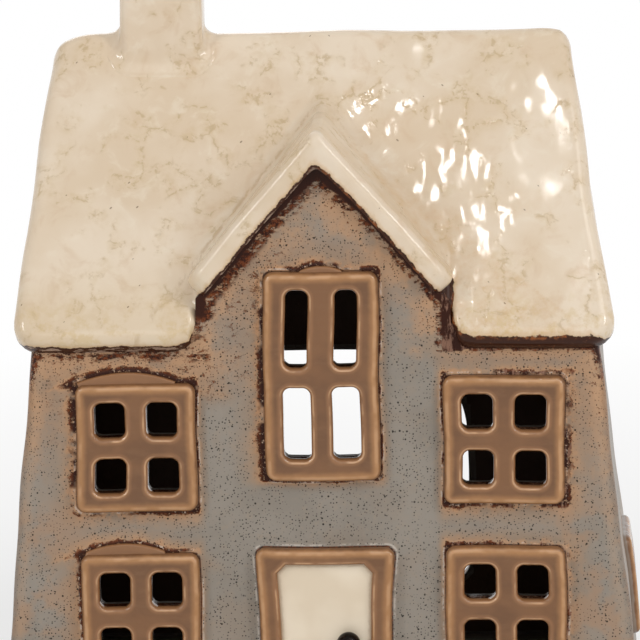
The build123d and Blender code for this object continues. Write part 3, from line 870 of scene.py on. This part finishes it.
# Tealight: thin pressed cup with fine flutes, wax with a shallow hollow, braided wick in its sustainer
def cup():
    """The cup as one thin skin: up the outside, over the rolled lip and down the inside; each (radius,
    height) is fluted by a cosine where it is marked 1."""
    rows = [(0.2, 0.0, 0), (17.6, 0.0, 0), (18.3, 0.15, 0.2), (18.5, 0.5, 1), (18.55, 3, 1), (18.6, 8, 1)]
    rows += [(18.65, 12.5, 1), (18.7, 14.6, 0), (18.85, 15.2, 0), (19.0, 15.4, 0), (19.0, 15.7, 0)]
    rows += [(18.85, 15.95, 0), (18.55, 15.9, 0), (18.35, 15.5, 0), (18.3, 14.6, 0), (18.25, 12.5, 1)]
    rows += [(18.2, 8, 1), (18.15, 3, 1), (18.05, 0.9, 1), (17.6, 0.42, 0), (0.2, 0.4, 0)]
    radius, z, fluted = np.array(rows, float).T[:, :, None]
    angle = np.linspace(0, 2 * math.pi, 180, endpoint=False)
    r = radius + fluted * 0.09 * (np.cos(angle * 36) - 1)
    rings = np.stack([r * np.cos(angle), r * np.sin(angle), CUP_FOOT + z + 0 * r], -1)
    return loft("cup_shell", rings, sharp=60)


def wick():
    """A braided wick: a round cord whose radius swells ten times in its length and three times round,
    twisting."""
    u, v = np.meshgrid(np.linspace(0, 1, 72), np.linspace(0, 2 * math.pi, 36, endpoint=False), indexing="ij")
    tip = np.clip((1 - u) / 0.05, 0.15, 1) ** 0.5
    radius = 0.72 * tip * (1 + 0.1 * np.cos(3 * v + 2 * math.pi * 7 * u) * np.cos(2 * math.pi * 10 * u))
    bend = 0.35 * np.maximum(u - 0.72, 0) ** 2 * 10
    rings = np.stack([radius * np.cos(v) + bend, radius * np.sin(v), CUP_FOOT + 0.85 + u * 17.1], -1)
    return loft("wick_braid", rings, sharp=80)


wax_rows = [(0.2, 0.42), (6.2, 0.44), (6.25, 0.95), (17.9, 0.96), (18.0, 1.1), (18.05, 8.0), (18.15, 12.2)]
wax_rows += [(17.9, 12.75), (17.4, 12.95), (16.0, 12.9), (12.0, 12.7), (6.0, 12.45), (2.4, 12.5), (1.4, 12.9)]
wax_rows += [(0.95, 13.3), (0.2, 13.3)]
tin_rows = [(0.2, 0.4), (6.0, 0.4), (6.0, 0.8), (2.2, 0.82), (1.6, 1.2), (1.6, 3.7), (1.5, 3.8), (0.2, 3.8)]
tealight_cup = cup()
tealight_wax = turned_piece("wax_fill", wax_rows, (0, 0, CUP_FOOT), around=96, sharp=70)
wick_sustainer = turned_piece("sustainer_tin", tin_rows, (0, 0, CUP_FOOT))
tealight_wick = wick()

base_size = box_middle("base_slab")[1]
base_slab = flat_slab(
    "base_clay",
    (-77, 77),
    (-46, 46),
    1.5,
    lambda p: pane_edge(p, 0, 0, base_size[0], base_size[1], 3.0) + 0.8,
    on_plane((0, 0, 0), (-1, 0, 0), (0, 1, 0)),
    0.8,
    FOOT,
    {},
    hand=False,
)


# Finishes
def tint(red, green, blue):
    """A colour from 0 to 255 as seen, turned into the light it stands for."""
    seen = np.array([red, green, blue]) / 255
    light = np.where(seen <= 0.04045, seen / 12.92, ((seen + 0.055) / 1.055) ** 2.4)
    return (*light.tolist(), 1.0)


def worked(operation, swapped=False):
    """A sum of an amount with another amount or a number, for Amount's operators."""

    def sum_of(self, other):
        return self.recipe.sum(operation, *((other, self) if swapped else (self, other)))

    return sum_of


class Amount:
    """A number that varies over the surface, with sums written as usual."""

    def __init__(self, recipe, socket):
        self.recipe = recipe
        self.socket = socket

    __add__ = __radd__ = worked("ADD")
    __mul__ = __rmul__ = worked("MULTIPLY")
    __sub__ = worked("SUBTRACT")
    __rsub__ = worked("SUBTRACT", swapped=True)
    __truediv__ = worked("DIVIDE")
    __rtruediv__ = worked("DIVIDE", swapped=True)
    most = worked("MAXIMUM")
    least = worked("MINIMUM")


class Recipe:
    """The nodes of a material or of the world."""

    def __init__(self, owner):
        owner.use_nodes = True
        self.tree = owner.node_tree
        self.tree.nodes.clear()

    def feed(self, socket, value):
        """Sets a socket to a value, or links it."""
        if isinstance(value, Amount):
            value = value.socket
        if isinstance(value, bpy.types.NodeSocket):
            self.tree.links.new(value, socket)
        else:
            socket.default_value = value

    def node(self, kind, settings=None, sockets=None):
        """A node of this kind, with its settings, and its sockets set to values or linked."""
        made = self.tree.nodes.new(kind)
        for key, value in (settings or {}).items():
            setattr(made, key, value)
        for key, value in (sockets or {}).items():
            self.feed(made.inputs[key], value)
        return made

    def sum(self, operation, a, b):
        return Amount(self, self.node("ShaderNodeMath", {"operation": operation}, {0: a, 1: b}).outputs[0])

    def blend(self, amount, first, second):
        """The first shader where the amount is 0 and the second where it is 1."""
        sockets = {0: amount, 1: first.outputs[0], 2: second.outputs[0]}
        return self.node("ShaderNodeMixShader", {}, sockets).outputs[0]


class Finish(Recipe):
    """A material whose colour is laid on coat by coat. spot is the place on the object in millimetres."""

    def __init__(self, name):
        self.material = bpy.data.materials.new(name)
        super().__init__(self.material)
        self.surface = self.node("ShaderNodeBsdfPrincipled")
        self.surfaces = [self.surface]
        self.out = self.node("ShaderNodeOutputMaterial", {}, {"Surface": self.surface.outputs[0]})
        self.spot = self.moved("SCALE", self.node("ShaderNodeTexCoord").outputs["Object"], 1000.0)

    def moved(self, operation, spot, by):
        """A place added to or multiplied by a step along each axis, or scaled by a number."""
        key = "Scale" if operation == "SCALE" else 1
        return self.node("ShaderNodeVectorMath", {"operation": operation}, {0: spot, key: by}).outputs[0]

    def rise(self, amount, low, high):
        """0 where the amount is at low, 1 where it is at high, and even between; high may be the
        smaller."""
        sockets = {"Value": amount, "From Min": low, "From Max": high}
        made = self.node("ShaderNodeMapRange", {"interpolation_type": "SMOOTHSTEP"}, sockets)
        return Amount(self, made.outputs[0])

    def mark(self, name):
        """One of the piece's own attributes."""
        return Amount(self, self.node("ShaderNodeAttribute", {"attribute_name": name}).outputs["Fac"])

    def place(self, axis):
        """The place on the object along one axis, in millimetres."""
        return Amount(self, self.node("ShaderNodeSeparateXYZ", {}, {0: self.spot}).outputs[axis])

    def cloud(self, size, detail, rough, shift=None, stretch=None, warp=0.0):
        """Soft random patches about this many millimetres across, from 0 to 1, moved by the shift so that
        two patterns differ, and drawn out along an axis where its stretch is under 1."""
        spot = self.moved("ADD", self.spot, shift) if shift else self.spot
        spot = self.moved("MULTIPLY", spot, stretch) if stretch else spot
        sockets = {"Vector": spot, "Scale": 1 / size, "Detail": detail, "Roughness": rough}
        made = self.node("ShaderNodeTexNoise", {}, {**sockets, "Distortion": warp})
        return Amount(self, made.outputs[0])

    def patches(self, low, high, *cloud, **drawn):
        """A cloud that rises from 0 to 1 as it goes from low to high."""
        return self.rise(self.cloud(*cloud, **drawn), low, high)

    def warped(self, size, reach, spot):
        """A place pushed about by soft noise, by up to the reach in millimetres."""
        noise = self.node("ShaderNodeTexNoise", {}, {"Vector": spot, "Scale": 1 / size, "Detail": 2.0})
        centred = self.moved("SUBTRACT", noise.outputs[1], (0.5, 0.5, 0.5))
        return self.moved("ADD", spot, self.moved("SCALE", centred, 2.0 * reach))

    def cracks(self, size, width, spot):
        """Thin lines between random cells of this size: 1 on a line, 0 at its width away."""
        sockets = {"Vector": spot, "Scale": 1 / size}
        made = self.node("ShaderNodeTexVoronoi", {"feature": "DISTANCE_TO_EDGE"}, sockets)
        return self.rise(Amount(self, made.outputs["Distance"]), width / size, 0.0)

    def specks(self, size, radius, share, shift=0.0):
        """Round specks: one in each random cell of this size, kept in this share of the cells. They lie on
        a flat map that is wrapped round each half of the house: z up, and x plus y across, or x less y in
        the left half."""
        x, y, z = (self.place(axis) for axis in range(3))
        sockets = {0: x + y * self.sum("SIGN", x, 0) + shift, 1: z + shift * 0.37}
        flat = self.node("ShaderNodeCombineXYZ", {}, sockets).outputs[0]
        sockets = {"Vector": flat, "Scale": 1 / size}
        made = self.node("ShaderNodeTexVoronoi", {"voronoi_dimensions": "2D"}, sockets)
        chance = self.node("ShaderNodeSeparateColor", {}, {0: made.outputs["Color"]})
        small = Amount(self, chance.outputs[1]) * 0.8 + 0.5
        near = self.rise(Amount(self, made.outputs["Distance"]) / small, radius / size, 0.5 * radius / size)
        return near * self.sum("LESS_THAN", Amount(self, chance.outputs[0]), share)

    def mixed(self, amount, a, b):
        """Colour a where the amount is 0 and colour b where it is 1."""
        return self.node("ShaderNodeMix", {"data_type": "RGBA"}, {0: amount, 6: a, 7: b}).outputs[2]

    def ground(self, amount, a, b):
        """Starts the colour: a where the amount is 0 and b where it is 1."""
        self.colour = self.mixed(amount, tint(*a), tint(*b))

    def lay(self, amount, *seen):
        """Lays a colour over the one so far where the amount is 1."""
        self.colour = self.mixed(amount, self.colour, tint(*seen))

    def set(self, **values):
        """Gives the surface the colour so far, and sets or links other sockets; underscores stand for
        spaces."""
        for key, value in {"base_color": self.colour, **values}.items():
            self.feed(self.surface.inputs[key.replace("_", " ").title().replace("Ior", "IOR")], value)

    def over(self, amount, **values):
        """Lays a second surface over the first where the amount is 1."""
        first, self.surface = self.surface, self.node("ShaderNodeBsdfPrincipled")
        self.surfaces.append(self.surface)
        self.feed(self.out.inputs["Surface"], self.blend(amount, first, self.surface))
        self.set(**values)

    def bumps(self, height):
        """Feeds a height in millimetres to the surfaces' normals, and gives the finished material."""
        made = self.node("ShaderNodeBump", {}, {"Strength": 1.0, "Distance": 0.001, "Height": height})
        for surface in self.surfaces:
            self.feed(surface.inputs["Normal"], made.outputs[0])
        return self.material


def cream_glaze():
    """Thick glossy cream glaze: tan and pinkish clouds, broken olive-tan veins with soft halos, a few iron
    specks and yellow pools at the eaves. Past its own end it gives way to the wall's glaze with brown
    streaks on the left, and to chocolate glaze with rusty breaks on the right."""
    f = Finish("cream_glaze")
    across, gap = f.place(0), f.mark("eaves_gap")
    f.ground(f.patches(0.36, 0.64, 24, 3, 0.55), (230, 213, 191), (220, 199, 172))
    fine = f.cloud(7, 4, 0.6, (40, 0, 11), warp=0.6)
    f.lay(f.rise(fine, 0.52, 0.74) * 0.6, 212, 185, 154)
    f.lay(f.rise(fine, 0.46, 0.28) * 0.5, 234, 221, 201)
    bent = f.warped(2.0, 1.6, f.warped(7, 4.0, f.spot))
    patches = f.cloud(10, 3, 0.6, (7, 70, 3))
    crumbs = f.cloud(2.6, 4, 0.7)
    halos = f.cracks(8.5, 2.4, bent) * f.rise(patches, 0.46, 0.6) * f.rise(crumbs, 0.34, 0.6)
    f.lay(halos * 0.5, 206, 180, 138)
    veins = f.cracks(8.5, 0.55, bent) * f.rise(patches, 0.48, 0.56) * f.rise(crumbs, 0.46, 0.54)
    f.lay(veins * 0.36, 172, 144, 102)
    valley = f.rise(f.mark("valley_gap") + crumbs * 3.0 - 1.5, 2.2, 0.0)
    f.lay(valley * f.patches(0.44, 0.6, 2.2, 4, 0.65, stretch=(1.0, 0.4, 0.4)) * 0.55, 176, 144, 104)
    f.lay(f.rise(gap, 16.0, 1.0) * f.patches(0.47, 0.66, 3.4, 4, 0.65, (3, 5, 90)) * 0.6, 208, 180, 126)
    f.lay(f.rise(gap, 24.0, 4.0) * f.rise(across, 0.0, -24.0) * 0.4, 208, 184, 148)
    f.lay(f.specks(6.5, 0.26, 0.14) * 0.7, 110, 80, 54)
    past = f.mark("past") + f.cloud(2.2, 5, 0.65) * 1.9 - 0.95
    f.lay(f.rise(past, -1.1, 0.1) * 0.6, 204, 164, 112)
    f.set(roughness=0.055, specular_ior_level=0.45)

    f.ground(f.patches(0.58, 0.72, 1.5, 5, 0.7, (1, 9, 4)), (62, 33, 20), (120, 72, 44))
    f.lay(f.rise(past, 0.9, 0.1) * f.patches(0.48, 0.6, 2.6, 4, 0.7, (5, 6, 7)) * 0.8, 158, 92, 48)
    chocolate = f.colour
    streaks = f.cloud(2.0, 5, 0.7, stretch=(0.45, 1, 1))
    f.ground(f.rise(streaks, 0.45, 0.6), (186, 158, 135), (160, 136, 118))
    f.lay(f.rise(streaks, 0.57, 0.5).most(f.rise(past, 0.7, 0.3)).most(f.rise(past, 2.7, 3.4)), 66, 36, 22)
    f.colour = f.mixed(f.rise(across, -4.0, 6.0), f.colour, chocolate)
    ends = f.rise(past, -0.1, 0.12)
    f.over(ends, roughness=0.16, specular_ior_level=0.18)

    ripples = f.cloud(5.2, 0.6, 0.4, stretch=(1.3, 0.7, 0.7)) * 0.12 + f.cloud(14, 1, 0.4) * 0.18
    smoother = f.rise(across, 8.0, -34.0) * 0.75 + f.rise(across, 42.0, 54.0) * 0.7
    return f.bumps(ripples * (1 - smoother) - veins * 0.02 - ends * 0.2)


def stone_glaze():
    """Satin grey glaze on the walls, with dense fine iron specks, tan where it is thin near the roof and
    frames, and a glossy rust-brown break under the roof, over the frames and down their outer sides,
    crumbling into flecks."""
    f = Finish("stone_glaze")
    across, deep = f.place(0), f.mark("deep")
    frame_gap, roof_gap, stain = f.mark("frame_gap"), f.mark("roof_gap"), f.mark("stain_gap")
    wide = f.cloud(16, 3, 0.5)
    grain = f.cloud(2.4, 5, 0.7, (2, 9, 5))
    ragged = f.cloud(2.6, 5, 0.72) * 4.8 - 2.4
    patch = f.cloud(9, 3, 0.55, (9, 2, 31))
    f.ground(f.rise(wide, 0.38, 0.62), (151, 143, 133), (143, 135, 125))
    f.lay(f.rise(grain, 0.5, 0.7) * 0.4, 162, 146, 128)
    wash = f.rise(stain.least(roof_gap * 0.8) + ragged * 0.7 + wide * 6.0, 12.0, 5.0)
    f.lay(wash.most(f.patches(0.48, 0.66, 13, 3, 0.6, (31, 2, 8)) * 0.3) * 0.75, 160, 136, 114)
    between = f.rise(stain + ragged * 0.5, 12.0, 5.0) * f.rise(roof_gap + ragged * 0.5, 16.0, 7.0)
    f.lay(between * 0.52, 158, 128, 103)
    near = stain.least(roof_gap * 0.42)
    f.lay(f.rise(near + ragged * 1.1, 5.5, 0.6) * f.rise(patch + grain * 0.3, 0.5, 0.7) * 0.75, 192, 150, 114)
    f.lay(f.rise(stain + ragged * 1.1, 3.0, 0.8) * f.rise(grain, 0.36, 0.56) * 0.7, 202, 152, 110)
    corner = f.mark("corner_gap") + grain * 3.0 - 1.5
    low = f.rise(corner, 22.0, 9.0) * f.rise(f.place(2), 66.0, 56.0) * f.rise(patch, 0.4, 0.56)
    f.lay(low * 0.6, 172, 138, 110)
    f.lay(f.rise(corner, 4.2, 2.2) * f.rise(corner, 0.6, 2.0) * 0.28, 188, 154, 124)
    f.lay(f.rise(corner, 1.6, -0.4) * 0.5, 126, 98, 76)
    # Painted highlight: a pale line just outside the frames, standing in for the glint on the glaze pooled
    # against them
    painted_frame_glint = f.rise(frame_gap, 0.95, 0.5) * f.rise(frame_gap, 0.25, 0.5)
    f.lay(painted_frame_glint * f.rise(grain + patch * 0.4, 0.66, 0.76) * 0.7, 214, 203, 192)
    specks = f.specks(0.8, 0.165, 0.62).most(f.specks(1.7, 0.25, 0.42, 3.7))
    specks = specks * f.patches(0.32, 0.52, 4, 3, 0.6)
    f.lay(specks * 0.95, 26, 20, 16)
    f.lay(f.rise(deep, 3.0, 3.4), 122, 114, 106)
    f.lay(f.rise(deep, 8.0, 8.6), 92, 70, 54)
    f.set(roughness=0.36, specular_ior_level=0.13)

    crumbs = f.cloud(1.0, 4, 0.7, (5, 5, 2))
    clots = f.patches(0.56, 0.6, 2.0, 5, 0.72, (6, 3, 9), (0.7, 1, 1)) * f.rise(crumbs, 0.44, 0.52) * between
    clots = clots * f.rise(across, 2.0, -14.0) * f.rise(across, -64.0, -58.0)
    flecks = (f.rise(crumbs - near * 0.035, 0.545, 0.59) * f.rise(patch, 0.4, 0.52)).most(clots)
    beside = f.rise(stain + ragged * 0.8, 1.9, 1.4) * f.rise(patch, 0.42, 0.5) * f.rise(crumbs, 0.38, 0.45)
    broken = f.patches(0.54, 0.47, 2.0, 5, 0.75, (3, 1, 2), (0.5, 1, 1))
    broken = f.rise(roof_gap + ragged * 0.8, 2.6, 2.0) * broken
    streaks = f.patches(0.51, 0.45, 2.0, 5, 0.7, stretch=(0.45, 1, 1)) * f.rise(across, 6.0, -4.0)
    streaks = streaks * f.rise(roof_gap + ragged * 0.25, 4.0, 2.6)
    below = f.rise(roof_gap + ragged * 0.5, 1.25, 0.85).most(broken).most(streaks)
    line = f.rise(frame_gap, 0.36, 0.1)
    rust = beside.most(below).most(flecks * 0.9).most(line * 0.9) * f.rise(deep, 3.4, 3.0)
    outer = f.rise(roof_gap.least(stain) + ragged * 0.3, 0.5, 1.8)
    f.ground(f.rise(crumbs, 0.43, 0.58) * outer, (54, 25, 14), (118, 62, 32))
    f.lay(f.patches(0.6, 0.7, 3.0, 4, 0.7, (8, 8, 8)) * outer * 0.6, 160, 98, 56)
    wrinkles = f.patches(0.5, 0.62, 1.3, 4, 0.65, (2, 2, 7), (1.4, 1, 0.35))
    f.lay(wrinkles * f.rise(across, 26.5, 29.0) * 0.7, 156, 118, 98)
    f.over(rust, roughness=0.2, specular_ior_level=0.12)

    pooled = f.rise(frame_gap, 1.3, 0.0)
    return f.bumps(f.cloud(6, 2, 0.4) * 0.16 + grain * 0.07 - specks * 0.04 + rust * 0.12 + pooled * 0.4)


def caramel_glaze():
    """Glossy caramel glaze on the frames: brown on the flats, orange tan towards the outer edge, a pale line
    on the rounded edges that is partly the glaze breaking there and partly a painted highlight, and a dark
    line where the clay meets the wall."""
    f = Finish("caramel_glaze")
    rim, pane, deep, banked = (f.mark(name) for name in ("rim", "pane", "deep", "banked"))
    streak = f.cloud(2.2, 4, 0.6, stretch=(0.4, 1, 1.3))
    wander = f.cloud(3, 3, 0.55) * 0.8 - 0.4
    f.ground(f.patches(0.36, 0.64, 9, 3, 0.55, stretch=(0.7, 1, 1)), (131, 92, 61), (117, 82, 55))
    f.lay(f.rise(streak, 0.5, 0.7) * 0.35, 133, 97, 68)
    f.lay(f.rise(rim + wander, 2.8, 1.0) * f.rise(rim + wander, 0.0, 0.7) * 0.62, 194, 142, 92)
    f.lay(f.rise(pane + wander * 0.5, 1.7, 0.8) * 0.5, 164, 118, 80)
    f.lay(f.rise(deep, 1.9, 2.4) * 0.9 * (1 - banked), 62, 33, 20)
    f.lay(f.rise(deep + wander, 0.9, 1.3) * banked, 150, 134, 120)
    f.set(roughness=0.12, specular_ior_level=0.36)

    # Painted highlight, partly the glaze's own pale break: a pale, shinier line on the rounded pane and outer
    # edges
    inner, outer = pane + wander * 0.3, rim + wander * 0.4
    thin = f.rise(inner, 0.92, 0.68) * f.rise(inner, 0.28, 0.5)
    rolled = f.rise(outer, 1.6, 1.1) * f.rise(outer, 0.4, 0.8)
    pale = thin.most(rolled * 0.7) * f.patches(0.34, 0.62, 4.5, 2, 0.5, (4, 1, 6))
    f.colour = tint(212, 164, 118)
    f.over(pale * 0.7, roughness=0.1, specular_ior_level=0.8)
    return f.bumps(f.cloud(3.6, 2, 0.4) * 0.3 + streak * 0.03)


def door_glaze():
    """Even cream glaze on the door."""
    f = Finish("door_glaze")
    f.ground(f.patches(0.35, 0.65, 12, 2, 0.5), (238, 223, 200), (229, 212, 187))
    f.lay(f.rise(f.mark("rim") + f.cloud(2, 3, 0.6) * 0.8, 1.4, 0.5) * 0.6, 176, 146, 112)
    f.set(roughness=0.12, specular_ior_level=0.4)
    return f.bumps(f.cloud(7, 2, 0.4) * 0.2)


def knob_glaze():
    """Near-black glossy glaze that breaks to brown."""
    f = Finish("knob_glaze")
    f.ground(f.patches(0.5, 0.68, 1.8, 3, 0.6), (18, 10, 6), (50, 32, 21))
    f.set(roughness=0.12, ior=1.52, specular_ior_level=0.09)
    return f.bumps(f.cloud(1.6, 2, 0.5) * 0.1)


def bare_clay():
    """Unglazed stoneware under the foot, with the grey glaze wiped to a line at the edge."""
    f = Finish("bare_clay")
    grain = f.cloud(1.1, 4, 0.7)
    glazed = f.rise(f.mark("deep") + f.cloud(4, 2, 0.5) * 0.8, 1.2, 1.6)
    f.ground(f.rise(grain, 0.35, 0.65), (170, 150, 126), (150, 130, 108))
    f.lay(glazed, 146, 138, 128)
    f.set(roughness=0.85 - glazed * 0.5)
    return f.bumps(grain * 0.06)


def cup_foil():
    """Pressed aluminium."""
    f = Finish("cup_foil")
    brushed = f.cloud(0.8, 3, 0.6, stretch=(1, 1, 6))
    f.ground(f.rise(brushed, 0.3, 0.7), (214, 214, 216), (190, 190, 194))
    f.set(metallic=1.0, roughness=0.26 + brushed * 0.12)
    return f.bumps(brushed * 0.01)


def candle_wax():
    """White wax that lets a little light through."""
    f = Finish("candle_wax")
    f.ground(f.patches(0.35, 0.65, 5, 3, 0.5), (240, 236, 226), (230, 224, 212))
    f.set(roughness=0.42, ior=1.44, subsurface_weight=0.25, subsurface_radius=(0.004, 0.003, 0.002))
    return f.bumps(f.cloud(3, 2, 0.5) * 0.05)


def cotton_wick():
    """Waxed cotton braid."""
    f = Finish("cotton_wick")
    f.ground(f.patches(0.35, 0.65, 0.5, 3, 0.6), (232, 224, 206), (206, 194, 170))
    f.set(roughness=0.7)
    return f.bumps(f.cloud(0.3, 2, 0.5) * 0.03)


def dress(piece, material, slot, *nodes, body="house"):
    """Gives a piece its finish and body, and puts it in the place of its solids."""
    piece.data.materials.append(material)
    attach(piece, body)
    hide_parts(*nodes)


cream, stone, caramel, foil = cream_glaze(), stone_glaze(), caramel_glaze(), cup_foil()
dress(roof, cream, "roof_glaze", "roof_front", "roof_back")
dress(dormer_roof, cream, "roof_glaze", "dormer_roof_left", "dormer_roof_right")
dress(chimney_stack, cream, "roof_glaze", "chimney_stack")
for name, piece in walls.items():
    dress(piece, stone, "wall_glaze", name)
for name, piece in trims.items():
    dress(piece, caramel, "frame_glaze", name)
dress(door_panel, door_glaze(), "door_glaze", "door_panel")
dress(door_knob, knob_glaze(), "knob_glaze", "door_knob")
dress(base_slab, bare_clay(), "bare_clay", "base_slab")
dress(tealight_cup, foil, "cup_foil", "tealight_cup", body="tealight")
dress(tealight_wax, candle_wax(), "candle_wax", "tealight_wax", body="tealight")
dress(tealight_wick, cotton_wick(), "cotton_wick", "tealight_wick", body="tealight")
dress(wick_sustainer, foil, "cup_foil", "wick_sustainer", body="tealight")


# Floor, light and camera
def seen_white(recipe):
    """1 to the camera, to reflections and through glass, and 0 to everything else."""
    path = recipe.node("ShaderNodeLightPath").outputs
    camera_ray, glossy_ray, through_glass = (
        Amount(recipe, path[name]) for name in ("Is Camera Ray", "Is Glossy Ray", "Is Transmission Ray")
    )
    return camera_ray.most(glossy_ray).most(through_glass)


WHITE = (1.0, 1.0, 1.0, 1.0)
world = bpy.data.worlds.new("studio_air")
bpy.context.scene.world = world
sky = Recipe(world)
air = sky.node("ShaderNodeBackground", {}, {"Color": (1.0, 0.99, 0.97, 1.0), "Strength": 0.43})
white = sky.node("ShaderNodeBackground", {}, {"Color": WHITE})
sky.node("ShaderNodeOutputWorld", {}, {"Surface": sky.blend(seen_white(sky), air, white)})

corners = np.array([[-1500, -1200, 0], [1500, -1200, 0], [1500, 1800, 0], [-1500, 1800, 0]], float)
floor = make_mesh("floor", corners, [(0, 1, 2, 3)], {})
floor_finish = bpy.data.materials.new("pale_floor")
pale = Recipe(floor_finish)
dull = pale.node("ShaderNodeBsdfDiffuse", {}, {"Color": (0.9, 0.9, 0.9, 1.0)})
lit = pale.node("ShaderNodeEmission", {}, {"Color": WHITE, "Strength": 1.0})
spot = pale.node("ShaderNodeTexCoord").outputs["Object"]
away = pale.node("ShaderNodeVectorMath", {"operation": "LENGTH"}, {0: spot}).outputs["Value"]
far = pale.node("ShaderNodeMapRange", {}, {"Value": away, "From Min": 0.12, "From Max": 0.42, "To Min": 0.6})
share = seen_white(pale) * far.outputs[0]
pale.node("ShaderNodeOutputMaterial", {}, {"Surface": pale.blend(share, dull, lit)})
floor.data.materials.append(floor_finish)


def lamp(name, place, aim, width, height, power, colour=(1, 1, 1)):
    """A rectangular lamp at a place in metres, facing its aim."""
    data = bpy.data.lights.new(name, "AREA")
    data.shape = "RECTANGLE"
    data.size, data.size_y = width, height
    data.energy = power
    data.color = colour
    made = bpy.data.objects.new(name, data)
    bpy.context.scene.collection.objects.link(made)
    made.location = place
    made.rotation_euler = (Vector(aim) - Vector(place)).to_track_quat("-Z", "Y").to_euler()


lamp("key_lamp", (0.52, -0.62, 0.98), (0.03, -0.02, 0.12), 0.5, 0.5, 1.72, (1.0, 0.97, 0.93))
lamp("gloss_lamp", (0.04, -0.492, 1.067), (0.03, -0.02, 0.135), 0.018, 0.018, 0.055)
lamp("second_gloss_lamp", (0.02, -0.552, 1.062), (0.04, -0.03, 0.12), 0.016, 0.016, 0.045)
lamp("front_strip", (-0.05, -0.82, 0.74), (0.0, -0.02, 0.1), 0.5, 0.5, 0.75)
lamp("back_lamp", (-0.35, 1.15, 0.75), (0, 0, 0.1), 0.7, 0.7, 2.0)
lamp("right_strip", (0.78, -0.58, 0.70), (0, 0, 0.1), 0.10, 0.5, 2.1)
lamp("left_strip", (-0.78, -0.58, 0.66), (0, 0, 0.1), 0.10, 0.5, 1.9)
lamp("side_lamp", (0.9, -0.5, 0.4), (0, 0, 0.08), 0.5, 0.7, 1.1)
lamp("left_lamp", (-0.9, -0.7, 0.4), (0, 0, 0.08), 0.6, 0.8, 0.9)

# Camera, fitted to the photograph: a metre from its aim, 3 degrees to the right, 12 up, rolled by 1.2
PHOTO_WIDTH, FOCAL_PIXELS, SENSOR = 640, 4335, 36.0
DISTANCE, AIM = 1.0, Vector((0.0016, -0.045, 0.105))
turn, lift, roll = math.radians(3.0), math.radians(12.0), math.radians(1.2)
backward = Vector((math.sin(turn) * math.cos(lift), -math.cos(turn) * math.cos(lift), math.sin(lift)))
level = Vector((0, 0, 1)).cross(backward).normalized()
upright = backward.cross(level)
right = math.cos(roll) * level - math.sin(roll) * upright
up = math.sin(roll) * level + math.cos(roll) * upright
camera_data = bpy.data.cameras.new("camera")
camera_data.sensor_width = SENSOR
camera_data.lens = FOCAL_PIXELS * SENSOR / PHOTO_WIDTH
camera_data.clip_start = 0.05
camera = bpy.data.objects.new("camera", camera_data)
bpy.context.scene.collection.objects.link(camera)
facing = Matrix((right, up, backward)).transposed().to_4x4()
camera.matrix_world = Matrix.Translation(AIM + DISTANCE * backward) @ facing
bpy.context.scene.camera = camera
bpy.context.scene.view_settings.view_transform = "Standard"
